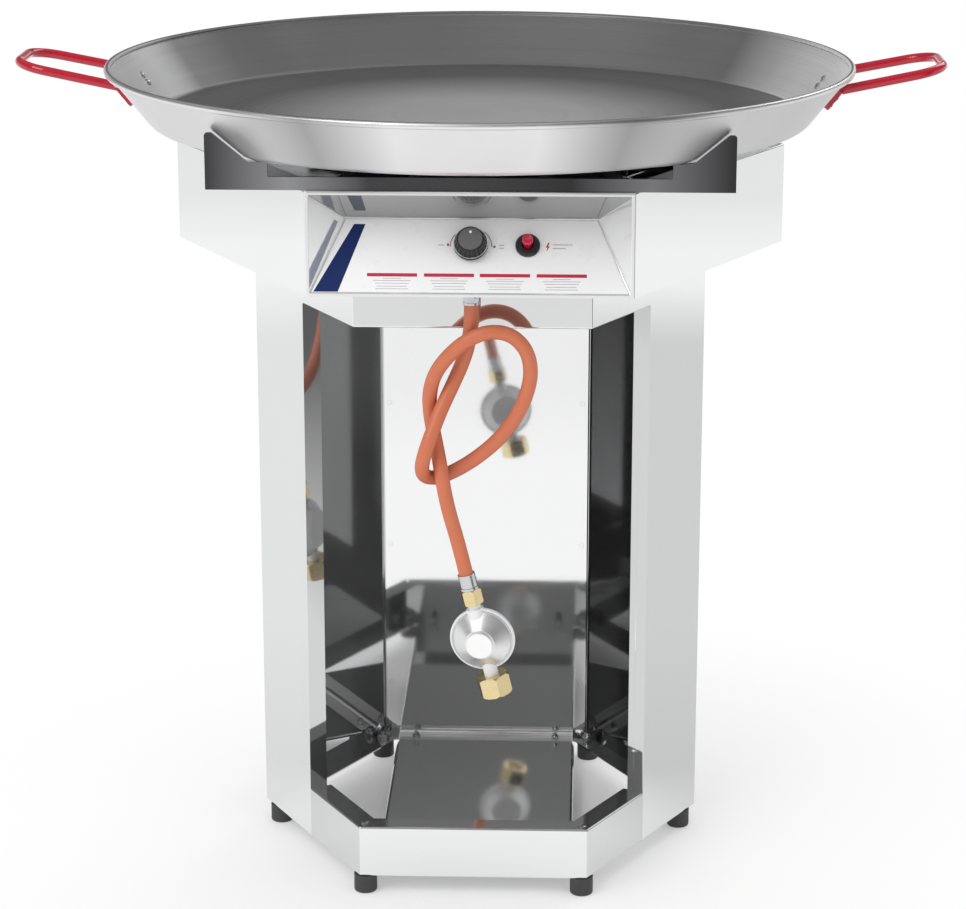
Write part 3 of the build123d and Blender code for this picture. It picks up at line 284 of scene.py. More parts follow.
@dataclass(frozen=True)
class PolishedSheet(Finish):
    """Mirror-polished sheet, with a faint haze, fine polishing lines, a slight wave in the sheet, and painted shade and
    light by which way a face looks.
    """

    metallic: float = 0.95
    mottle: float = 0.008
    spread: float = 0.012
    patch: float = 7.0
    grain: float = 260.0
    relief: float = 0.012
    depth: float = 0.00001
    stretch: Triple = (0.15, 0.15, 4.0)
    haze: Pair = (0.35, 0.75)  # levels of the noise between which the haze grows
    streak: Pair = (0.8, 1.2)  # least and greatest share of the roughness on the polishing lines
    wave: float = 5.0  # waves of the sheet for each metre
    swell: float = 0.00005  # height of those waves in metres
    inner_painted_shade: float = 1.0  # share of the colour on the side that faces the stand's middle plane, as painted shade
    inward_reach: Pair = (-0.02, 0.0)  # product of place and normal across between which that side begins
    underside: float = 1.0  # share of the colour on faces that look down, as painted shade
    flank: float = 1.0  # share of the colour on faces that look sideways, as painted shade below 1 and painted light above 1
    lip: float = 1.0  # share of the colour on the folded lips, which look to the front, as painted shade
    lip_turn: float = 0.0  # tangent of the angle by which the right lip is folded further
    lip_way: Triple = (0.866, -0.5, 0.0)  # direction in which it is folded further
    cloud: float = 0.0  # share of the mirror that is clouded in the upper part
    cloud_heights: Pair = (0.36, 0.46)  # heights over the ground between which the clouded part begins
    edge: float = 0.0  # share of a matt white on cut edges, which look up
    edge_height: float = 0.09  # height over the ground from which edges are cut ones

    def shade(self, graph: MaterialGraph) -> None:
        """Lay the finish's nodes."""
        haze = graph.noise(self.patch, detail=5.0)
        lines = graph.noise(self.grain, stretch=self.stretch)
        facing = graph.facing()
        side, front, up = graph.parts(facing)
        across, _, height = graph.parts(graph.place)
        # The lips that look to the front, which take painted shade and, on the right, a leaning normal.
        lipped = graph.span(front, 1.0, 0.0, *FRONTWARD)
        # Painted shade on the side that faces the stand's middle plane.
        inner_painted_shade = graph.span(graph.times(side, across), self.inner_painted_shade, 1.0, *self.inward_reach)
        # Painted shade on faces that look down.
        lowered = graph.span(up, self.underside, 1.0, *DOWNWARD)
        # Painted shade below 1 and painted light above 1 on faces that look sideways.
        sided = graph.span(graph.math("ABSOLUTE", side), 1.0, self.flank, *SIDEWAYS)
        # The shares together: painted light and shade that scale the colour.
        painted_light_and_shade = graph.times(graph.times(graph.mix(lipped, inner_painted_shade, self.lip), lowered), sided)
        waves = self._waves(graph, facing, graph.times(lipped, graph.math("GREATER_THAN", across, 0.0)))
        graph.set(
            Base_Color=graph.scaled(self.mottled(graph, haze), painted_light_and_shade),
            Roughness=graph.times(self.dulled(graph, haze, self.haze), graph.span(lines, *self.streak, *NOISE)),
            Metallic=self._mirror(graph, up, height),
            Normal=graph.bump(lines, self.relief, self.depth, waves),
        )

    def _waves(self, graph: MaterialGraph, facing: Socket, turned: Socket) -> Socket:
        """Normal of the waved sheet, whose right lip is folded further."""
        leaning = None
        if self.lip_turn:
            further = graph.scaled(self.lip_way, graph.times(turned, self.lip_turn))
            leaning = graph.vectors("NORMALIZE", graph.vectors("ADD", facing, further))
        return graph.bump(graph.noise(self.wave, detail=0.0), 1.0, self.swell, leaning)

    def _mirror(self, graph: MaterialGraph, up: Socket, height: Socket) -> Socket | float:
        """Share of the mirror that cut edges and a clouded part leave."""
        if not self.edge and not self.cloud:
            return self.metallic
        clouded = graph.span(height, 0.0, self.cloud, *self.cloud_heights)
        edged = graph.span(up, 0.0, self.edge, *UPWARD)
        cut = graph.times(edged, graph.math("GREATER_THAN", height, self.edge_height))
        return graph.math("SUBTRACT", self.metallic, graph.math("MAXIMUM", cut, clouded))


@dataclass(frozen=True)
class TurnedPan(Finish):
    """Pan of carbon steel: satin grey with turning marks inside, polished outside and on the rim, with painted light
    and shade on its floor, wall and outside.
    """

    outside: Colour = (0.89, 0.89, 0.895)  # linear colour of the polished side
    outside_roughness: Pair = (0.288, 0.45)  # least and greatest roughness of the polished side
    turning: float = 420.0  # turning marks for each metre of the radius
    inside_up: Pair = (-0.05, 0.05)  # the normal's part upwards between which the inside begins
    inside_out: Pair = (0.3, 0.6)  # the normal's part outwards between which the inside ends
    stain: Pair = (0.25, -0.3)  # share of the stains, and by how much they are darker
    stain_levels: Pair = (0.4, 0.7)  # levels of the noise between which they grow
    # shares of the colour in the middle of the floor and at its edge: painted light in the middle, painted shade at the
    # edge
    painted_floor_levels: Pair = (1.7, 0.46)
    painted_floor_reach: Pair = (0.12, 0.27)  # radii between which the painted light on the floor gives way to painted shade
    floor_up: Pair = (0.9, 0.97)  # the normal's part upwards between which the floor begins
    wall: Pair = (0.36, 0.68)  # shares of the colour on the wall's left quarter and on the rest of the wall, as painted shade
    wall_reach: Pair = (-0.78, -0.6)  # sines of the angle between which the left quarter ends
    wall_ends: Pair = (1.7, 2.7)  # shares of the colour at the left and the right end of the wall, as painted highlights
    left_reach: Pair = (-1.0, -0.9)  # sines between which the left end is
    right_reach: Pair = (0.76, 0.96)  # sines between which the right end is
    band: float = 0.5  # share of the colour in the bands of painted shade down the outside, one on each side
    band_place: float = 0.4  # sine of the angle from the front or the back to a band's middle
    band_reach: float = 0.22  # half of a band's width, in that sine

    def shade(self, graph: MaterialGraph) -> None:
        """Lay the finish's nodes."""
        facing = graph.facing()
        x, y, height = graph.parts(graph.place)
        flat = graph.vector(x, y)
        reach, ray = graph.measure("LENGTH", flat), graph.vectors("NORMALIZE", flat)
        outward, upward = graph.measure("DOT_PRODUCT", facing, ray), graph.parts(facing)[2]
        marks = graph.noise(self.turning, detail=3.0, at=graph.vector(reach, height))
        patches = graph.noise(self.patch, detail=4.0)
        raised = graph.span(upward, 0.0, 1.0, *self.inside_up)
        inside = graph.times(raised, graph.span(outward, 1.0, 0.0, *self.inside_out))
        stained, darker = self.stain
        stains = graph.span(patches, 0.0, stained, *self.stain_levels)
        satin = graph.blend(stains, self.mottled(graph, marks), self.tone(darker))
        # Painted shade along the wall and painted highlights at its left and right ends, by the angle round the pan.
        aside = graph.parts(ray)[0]
        left = graph.span(aside, self.wall_ends[0] - self.wall[0], 0.0, *self.left_reach)
        right = graph.span(aside, 0.0, self.wall_ends[1] - self.wall[1], *self.right_reach)
        middle = graph.span(aside, *self.wall, *self.wall_reach)
        wall_painted_light = graph.math("ADD", graph.math("ADD", left, right), middle)
        # Painted light in the middle of the floor and painted shade at its edge.
        floor_painted_light = graph.span(reach, *self.painted_floor_levels, *self.painted_floor_reach)
        satin_painted_light = graph.scaled(satin, graph.mix(graph.span(upward, 1.0, 0.0, *self.floor_up), floor_painted_light, wall_painted_light))
        # Bands of painted shade down the outside.
        beside = graph.math("SUBTRACT", graph.math("ABSOLUTE", aside), self.band_place)
        dimmed = graph.span(graph.math("ABSOLUTE", beside), self.band, 1.0, 0.0, self.band_reach)
        bright = graph.span(patches, *self.outside_roughness, *NOISE)
        graph.set(
            Base_Color=graph.blend(inside, graph.scaled(self.outside, dimmed), satin_painted_light),
            Roughness=graph.mix(inside, bright, self.dulled(graph, marks)),
            Metallic=graph.span(inside, 1.0, self.metallic),
            Normal=graph.bump(marks, self.relief, self.depth),
        )


@dataclass(frozen=True)
class RolledPlate(Finish):
    """Dark rolled plate with a paler zone of painted highlight towards each end, and painted light on its left half."""

    painted_gleam: float = 3.8  # share by which the painted highlights are lighter
    painted_gleam_place: float = 0.18  # distance of their middles from the plate's middle
    painted_gleam_reach: float = 0.08  # half of their width
    painted_gleam_soft: float = 0.1  # softness of their middles
    pale: float = 1.5  # share of the colour on the left half, as painted light
    pale_end: float = 0.1  # distance from the middle over which that share ends

    def mottled(self, graph: MaterialGraph, noise: Socket) -> Socket:
        """The plate's colour, varied by a noise, with its painted highlights and its half paler with painted light."""
        across = graph.parts(graph.place)[0]
        # Painted highlight towards each end of the plate.
        away = graph.math("ABSOLUTE", graph.math("SUBTRACT", graph.math("ABSOLUTE", across), self.painted_gleam_place))
        gleam_share = graph.math("SMOOTH_MIN", graph.span(away, 1.0, 0.0, 0.0, self.painted_gleam_reach), 1.0, self.painted_gleam_soft)
        colour = graph.blend(gleam_share, super().mottled(graph, noise), self.tone(self.painted_gleam))
        # Painted light on the left half.
        return graph.scaled(colour, graph.span(across, self.pale, 1.0, 0.0, self.pale_end))


@dataclass(frozen=True)
class Finishes:
    """Every finish of the stand."""

    # rail_sheet and plate_sheet are darker copies of the one polished sheet, as painted shade; back_sheet is a lighter
    # copy, as painted light.
    sheet: Finish = PolishedSheet("mirror_sheet", (0.875, 0.88, 0.885), 0.035, edge=0.75)
    rail_sheet: Finish = PolishedSheet("rail_sheet", (0.845, 0.85, 0.855), 0.035, flank=0.84)
    plate_sheet: Finish = PolishedSheet("plate_sheet", (0.82, 0.825, 0.83), 0.035)
    side_sheet: Finish = PolishedSheet("side_sheet", (0.875, 0.88, 0.885), 0.04, 0.93, lip=0.74, edge=0.75)
    right_sheet: Finish = PolishedSheet(
        "right_sheet", (0.875, 0.88, 0.885), 0.04, 0.93, inner_painted_shade=0.18, lip=0.74, lip_turn=0.26, edge=0.75
    )
    back_sheet: Finish = PolishedSheet(
        "back_sheet", (0.95, 0.952, 0.955), 0.05, 0.93, spread=0.015, cloud=0.1, edge=0.6, edge_height=0.0
    )
    fascia_sheet: Finish = PolishedSheet(
        "fascia_sheet", (0.89, 0.893, 0.895), 0.05, 0.65, spread=0.015, underside=0.42, flank=1.1
    )
    pan: Finish = TurnedPan("turned_pan", (0.31, 0.31, 0.314), 0.36, 0.55, 0.12, 0.05, 9.0, relief=0.06, depth=0.00005)
    dark_plate: Finish = RolledPlate(
        "dark_rolled_plate", (0.052, 0.052, 0.054), 0.33, 1.0, 0.1, 0.05, 14.0, 700.0, 0.06, stretch=(0.2, 1.0, 3.0)
    )
    iron: Finish = Finish("scaled_iron", (0.035, 0.034, 0.033), 0.72, 0.4, 0.35, 0.12, 60.0, 500.0, 0.5, 0.0004)
    zinc: Finish = Finish("bright_zinc", (0.66, 0.67, 0.68), 0.24, 1.0, 0.1, 0.07, 220.0, 2500.0, 0.06)
    rubber: Finish = Finish("foot_rubber", (0.045, 0.045, 0.046), 0.55, 0.0, 0.25, 0.1, 90.0, 1800.0, 0.25)
    film: Finish = Finish("label_film_satin", (0.94, 0.94, 0.94), 0.3, 0.0, 0.012, 0.04, 40.0, 1500.0, 0.05)
    navy: Finish = Finish("navy_ink", (0.013, 0.029, 0.125), 0.45, 0.0, 0.08, 0.04, 120.0, 2500.0, 0.05, gloss=0.1)
    crimson: Finish = Finish("crimson_ink", (0.56, 0.012, 0.06), 0.38, 0.0, 0.06, 0.04, 200.0, 2500.0, 0.05)
    grey_ink: Finish = Finish("grey_ink", (0.12, 0.12, 0.13), 0.42, 0.0, 0.08, 0.04, 200.0, 2500.0, 0.05)
    pale_ink: Finish = Finish("pale_ink", (0.5, 0.47, 0.49), 0.42, 0.0, 0.08, 0.04, 200.0, 2500.0, 0.05)
    black: Finish = Finish("black_moulding", (0.013, 0.013, 0.013), 0.42, 0.0, 0.2, 0.06, 120.0, 3200.0, 0.22)
    cap: Finish = Finish("grey_cap", (0.13, 0.13, 0.133), 0.38, 0.0, 0.1, 0.05, 150.0, 3200.0, 0.15)
    white: Finish = Finish("white_moulding", (0.9, 0.9, 0.895), 0.45, 0.0, 0.02, 0.05, 150.0, 2500.0, 0.08)
    red_button: Finish = Finish(
        "red_moulding", (0.6, 0.004, 0.055), 0.18, 0.0, 0.1, 0.03, 90.0, 2000.0, 0.03, coat=0.6
    )
    red_coat: Finish = Finish(
        "red_dip_coat", (0.45, 0.003, 0.022), 0.16, 0.0, 0.08, 0.04, 40.0, 350.0, 0.1, coat=0.5
    )
    brass: Finish = Finish("machined_brass", (0.82, 0.68, 0.38), 0.22, 1.0, 0.1, 0.07, 160.0, 1800.0, 0.06)
    hose: Finish = Finish("orange_hose", (0.62, 0.17, 0.08), 0.42, 0.0, 0.07, 0.06, 60.0, 1600.0, 0.08)
    die_cast: Finish = Finish("die_cast_grey", (0.85, 0.85, 0.855), 0.36, 0.85, 0.05, 0.05, 110.0, 1500.0, 0.12)
    blasted: Finish = Finish("blasted_cast_grey", (0.86, 0.86, 0.865), 0.5, 0.25, 0.05, 0.05, 110.0, 1500.0, 0.12)
    copper: Finish = Finish("drawn_copper", (0.62, 0.3, 0.18), 0.3, 1.0, 0.18, 0.08, 70.0, 1400.0, 0.08)
    ceramic: Finish = Finish("glazed_ceramic", (0.8, 0.77, 0.7), 0.18, 0.0, 0.04, 0.04, 120.0, 900.0, 0.05, coat=0.5)


FINISH = Finishes()


def dress(finish: Finish, *nodes: str) -> None:
    """Give a finish to nodes of the frame."""
    for name in nodes:
        for slot in frame["nodes"][name].material_slots:
            slot.material = finish.material()
        LOG.info("dressed %s in %s", name, finish.name)


def settle(piece: bpy.types.Object, body: Body, slot: Slot, *nodes: str) -> bpy.types.Object:
    """Let a finished piece ride on a body and stand for nodes.

    Args:
        piece: the piece, at the origin.
        body: body that it moves with.
        slot: the record's slot that its finish belongs to; not used.
        nodes: nodes that it stands for.

    Returns:
        The same piece.
    """
    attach(piece, body.value)
    if nodes:
        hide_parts(*nodes)
    LOG.info("piece %s on %s", piece.name, body.value)
    return piece


def linked(name: str, data: bpy.types.ID) -> bpy.types.Object:
    """New object at the origin, in the scene."""
    made = bpy.data.objects.new(name, data)
    bpy.context.scene.collection.objects.link(made)
    return made


def smoothed(mesh: bpy.types.Mesh, degrees: float) -> None:
    """Shade two faces as one where they meet at less than an angle."""
    mesh.shade_smooth()
    mesh.set_sharp_from_angle(angle=math.radians(degrees))


def in_metres(pairs: Iterable[Pair]) -> list[Pair]:
    """Pairs of millimetres, in metres."""
    return [(first * MM, second * MM) for first, second in pairs]


def along_arc(middle: Pair, radius: float, first: float, last: float, steps: int) -> list[Pair]:
    """Points along an arc.

    Args:
        middle: middle of its circle.
        radius: radius of its circle.
        first: angle where it begins.
        last: angle where it ends.
        steps: how many even steps it has.

    Returns:
        The points, with both ends.
    """
    turns = [first + (last - first) * step / steps for step in range(steps + 1)]
    return [(middle[0] + radius * math.cos(turn), middle[1] + radius * math.sin(turn)) for turn in turns]


class Shape:
    """Collects the vertices and faces of one piece."""

    def __init__(self) -> None:
        """Start with nothing."""
        self.points: list[Vector] = []
        self.faces: list[list[int]] = []

    def prism(self, outline: Sequence[Vector], rise: Vector) -> None:
        """Add a closed prism.

        Args:
            outline: corners of its foot.
            rise: from the foot to the top.
        """
        start, count = len(self.points), len(outline)
        self.points += [Vector(point) for point in outline]
        self.points += [Vector(point) + rise for point in outline]
        self.faces.append([start + index for index in reversed(range(count))])
        self.faces.append([start + count + index for index in range(count)])
        for index in range(count):
            after = (index + 1) % count
            self.faces.append([start + index, start + after, start + count + after, start + count + index])

    def lathe(
        self,
        profile: Sequence[Pair],
        place: Matrix,
        steps: int,
        wave: Callable[[int, float, float], float] | None = None,
    ) -> "Shape":
        """Add a closed turned form.

        Args:
            profile: radius and height of each ring, from one point on the axis to another.
            place: matrix from the turned form's own frame.
            steps: points in each ring.
            wave: radius at a ring, an angle and a plain radius, where the rings aren't round.

        Returns:
            The shape itself.
        """
        rings: list[list[int]] = []
        for number, (radius, height) in enumerate(profile):
            ring = []
            for step in range(steps if radius > 0 else 1):
                angle = FULL_TURN * step / steps
                reach = wave(number, angle, radius) if wave else radius
                ring.append(len(self.points))
                self.points.append(place @ Vector((reach * math.cos(angle), reach * math.sin(angle), height)))
            rings.append(ring)
        for low, high in zip(rings, rings[1:]):
            for step in range(steps):
                after = (step + 1) % steps
                corners = [low[step % len(low)], low[after % len(low)], high[after % len(high)], high[step % len(high)]]
                self.faces.append(list(dict.fromkeys(corners)))
        return self

    def piece(self, name: str, finish: Finish, smooth_angle: float = 35.0) -> bpy.types.Object:
        """Make the object.

        Args:
            name: its name.
            finish: finish of all of it.
            smooth_angle: degrees below which two faces shade as one.

        Returns:
            The new object, at the origin.
        """
        mesh = bpy.data.meshes.new(name)
        mesh.from_pydata(self.points, [], self.faces)
        work = bmesh.new()
        work.from_mesh(mesh)
        bmesh.ops.remove_doubles(work, verts=work.verts, dist=MERGE)
        bmesh.ops.recalc_face_normals(work, faces=work.faces)
        work.to_mesh(mesh)
        work.free()
        smoothed(mesh, smooth_angle)
        mesh.materials.append(finish.material())
        return linked(name, mesh)


class FieldTree(Graph):
    """Geometry Nodes tree that puts a form on every point of a mesh and ends in one realized mesh."""

    def __init__(self, name: str, *sizes: str) -> None:
        """Make the tree with its named inputs: numbers and the finish."""
        super().__init__(bpy.data.node_groups.new(name, "GeometryNodeTree"))
        face = self.tree.interface
        face.new_socket("Geometry", in_out="OUTPUT", socket_type="NodeSocketGeometry")
        face.new_socket("Geometry", in_out="INPUT", socket_type="NodeSocketGeometry")
        kinds = {**dict.fromkeys(sizes, "NodeSocketFloat"), "finish": "NodeSocketMaterial"}
        self.keys = {
            label: face.new_socket(label, in_out="INPUT", socket_type=kind).identifier for label, kind in kinds.items()
        }
        self.given = self.add("NodeGroupInput").outputs
        self.sizes = [self.given[label] for label in sizes]

    def moved(self, form: Socket, **changes: Socket) -> Socket:
        """Form after a Translation, Rotation or Scale."""
        return self.add("GeometryNodeTransform", {"Geometry": form, **changes}).outputs[0]

    def lifted(self, form: Socket, height: Value) -> Socket:
        """Form moved up along its axis."""
        return self.moved(form, Translation=self.vector(z=height))

    def gathered(self, node: bpy.types.Node, entry: int, forms: Iterable[Socket]) -> Socket:
        """Result of a node that takes several forms at one input."""
        for form in forms:
            self.tree.links.new(form, node.inputs[entry])
        return node.outputs[0]

    def joined(self, *forms: Socket) -> Socket:
        """Several forms as one."""
        return self.gathered(self.add("GeometryNodeJoinGeometry"), 0, forms)

    def without(self, form: Socket, *tools: Socket) -> Socket:
        """Form with tools cut out of it."""
        node = self.add("GeometryNodeMeshBoolean", {0: form}, operation="DIFFERENCE", solver="EXACT")
        return self.gathered(node, 1, tools)

    def common(self, *forms: Socket) -> Socket:
        """What forms have in common."""
        node = self.add("GeometryNodeMeshBoolean", operation="INTERSECT", solver="EXACT")
        return self.gathered(node, 1, forms)

    def block(self, *sides: Value) -> Socket:
        """Block about the point."""
        return self.add("GeometryNodeMeshCube", {"Size": self.vector(*sides)}).outputs[0]

    def cylinder(self, sides: int, radius: Value, height: Value, rings: int = 1, rows: int = 1) -> Socket:
        """Cylinder that stands on the point.

        Args:
            sides: number of its sides.
            radius: value or socket of its radius.
            height: value or socket of its height.
            rings: rings of faces on its ends.
            rows: rows of faces on its side.

        Returns:
            Socket with its mesh.
        """
        sizes = {"Vertices": sides, "Side Segments": rows, "Fill Segments": rings, "Radius": radius, "Depth": height}
        form = self.add("GeometryNodeMeshCylinder", sizes, fill_type="TRIANGLE_FAN").outputs[0]
        return self.lifted(form, self.times(height, 0.5))

    def spot(self) -> list[Socket]:
        """X, Y and Z of each point of a form."""
        return self.parts(self.add("GeometryNodeInputPosition").outputs[0])

    def reshaped(self, form: Socket, *spot: Socket) -> Socket:
        """Form with its points at other places."""
        inputs = {"Geometry": form, "Position": self.vector(*spot)}
        return self.add("GeometryNodeSetPosition", inputs).outputs[0]

    def domed(self, form: Socket, radius: Value, crown: float) -> Socket:
        """Form whose height falls by a share of it from the axis to the radius."""
        x, y, z = self.spot()
        reach = self.measure("LENGTH", self.vector(x, y))
        share = self.math("POWER", self.math("DIVIDE", reach, radius), 2.0)
        return self.reshaped(form, x, y, self.times(z, self.math("SUBTRACT", 1.0, self.times(share, crown))))

    def ridged(self, form: Socket, pitch: float, depth: float) -> Socket:
        """Form whose radius swings by a share along its axis, as a thread's does."""
        x, y, z = self.spot()
        swing = self.math("SINE", self.times(z, FULL_TURN / pitch))
        grow = self.math("ADD", 1.0 - depth, self.times(swing, depth))
        return self.reshaped(form, self.times(x, grow), self.times(y, grow), z)

    def attribute(self, name: str) -> Socket:
        """Vector that the points carry."""
        node = self.add("GeometryNodeInputNamedAttribute", {"Name": name}, data_type="FLOAT_VECTOR")
        return next(output for output in node.outputs if output.enabled)

    def scatter(self, form: Socket, turned: bool = False, seed: int = 7, **inputs: Socket) -> None:
        """End the tree: the form on every point along its axis, realized and dressed.

        Args:
            form: socket with the form, whose Z goes along the points' axes.
            turned: whether every one has its own turn about its axis.
            seed: seed of those turns.
            inputs: more inputs of the node that places the form.
        """
        facing = self.add("FunctionNodeAlignRotationToVector", {"Vector": self.attribute("axis")}, axis="Z").outputs[0]
        if turned:
            range_of_turns = {2: 0.0, 3: FULL_TURN, "Seed": seed}
            turn = self.add("FunctionNodeRandomValue", range_of_turns, data_type="FLOAT").outputs[1]
            own = self.add("FunctionNodeEulerToRotation", {0: self.vector(z=turn)}).outputs[0]
            turns = {"Rotation": facing, "Rotate By": own}
            facing = self.add("FunctionNodeRotateRotation", turns, rotation_space="LOCAL").outputs[0]
        placing = {"Points": self.given["Geometry"], "Instance": form, "Rotation": facing, **inputs}
        placed = self.add("GeometryNodeInstanceOnPoints", placing).outputs[0]
        real = self.add("GeometryNodeRealizeInstances", {0: placed}).outputs[0]
        dressed = self.add("GeometryNodeSetMaterial", {0: real, "Material": self.given["finish"]}).outputs[0]
        self.add("NodeGroupOutput", {0: dressed})

    def grow(
        self, name: str, points: bpy.types.Mesh, finish: Finish, smooth_angle: float = 40.0, **values: float
    ) -> bpy.types.Object:
        """Run the tree on a mesh of points.

        Args:
            name: name of the piece.
            points: mesh whose vertices the tree reads.
            finish: finish of the piece.
            smooth_angle: degrees below which two faces shade as one.
            values: the named inputs.

        Returns:
            Object with the plain mesh that the tree made.
        """
        made = linked(name, points)
        field_modifier = made.modifiers.new("field", "NODES")
        field_modifier.node_group = self.tree
        for label, value in {**values, "finish": finish.material()}.items():
            field_modifier[self.keys[label]] = value
        mesh = bpy.data.meshes.new_from_object(made.evaluated_get(bpy.context.evaluated_depsgraph_get()))
        made.modifiers.remove(field_modifier)
        made.data = mesh
        mesh.name = name
        smoothed(mesh, smooth_angle)
        return made


@dataclass
class TurnedSolid:
    """One turned solid of a node, such as a screw, with its axis towards its head."""

    axis: Vector  # direction from its shank to its head
    head: Vector  # middle of the end of its head
    tail: Vector  # middle of the end of its shank

    @property
    def length(self) -> float:
        """Distance between its ends."""
        return (self.head - self.tail).length


def turned_solids(node: str, towards: Callable[[Vector], Vector] | None = None) -> list[TurnedSolid]:
    """Find the turned solids that a node of the frame is made of.

    Args:
        node: name of the node.
        towards: direction that the head faces, from the solid's middle, where the ends are alike.

    Returns:
        The solids, in the order of the node's mesh.
    """
    work = bmesh.new()
    work.from_mesh(frame["nodes"][node].data)
    bmesh.ops.remove_doubles(work, verts=work.verts, dist=MERGE)
    found, seen = [], set()
    for start in work.verts:
        if start in seen:
            continue
        group, queue = {start}, [start]
        while queue:
            for edge in queue.pop().link_edges:
                queue += [vertex for vertex in edge.verts if vertex not in group]
                group.update(edge.verts)
        seen |= group
        found.append(_turned(group, towards))
    work.free()
    return found


def _turned(group: set[bmesh.types.BMVert], towards: Callable[[Vector], Vector] | None) -> TurnedSolid:
    """Axis and ends of one group of joined vertices."""
    spread = np.zeros((3, 3))
    for face in {face for vertex in group for face in vertex.link_faces}:
        spread += face.calc_area() * np.outer(face.normal, face.normal)
    shares, directions = np.linalg.eigh(spread)
    alone = 0 if shares[1] - shares[0] > shares[2] - shares[1] else 2
    axis = Vector(directions[:, alone])
    corners = [vertex.co.copy() for vertex in group]
    middle = sum(corners, Vector()) / len(corners)
    along = [(corner - middle).dot(axis) for corner in corners]
    aside = [(corner - middle - axis * part).length for corner, part in zip(corners, along)]
    low, high, slack = min(along), max(along), 10 * MERGE
    high_width = max(width for width, part in zip(aside, along) if part > high - slack)
    low_width = max(width for width, part in zip(aside, along) if part < low + slack)
    turn = towards(middle).dot(axis) < 0 if towards else low_width > high_width
    if turn:
        axis, low, high = -axis, -high, -low
    return TurnedSolid(axis, middle + axis * high, middle + axis * low)


def points_mesh(name: str, places: Sequence[Vector], **directions: Sequence[Vector]) -> bpy.types.Mesh:
    """Mesh of bare points that carry a vector or more each."""
    mesh = bpy.data.meshes.new(name)
    mesh.from_pydata(places, [], [])
    for label, vectors in directions.items():
        kept = mesh.attributes.new(label, "FLOAT_VECTOR", "POINT")
        kept.data.foreach_set("vector", np.array(vectors, np.float32).ravel())
    return mesh


@dataclass(frozen=True)
class NuttedStud:
    """Sizes of a stud with its nut."""

    stud: float  # radius of the stud
    flats: float  # distance between the flats of the nut
    height: float  # height of the nut
    below: float  # length of the stud below the nut


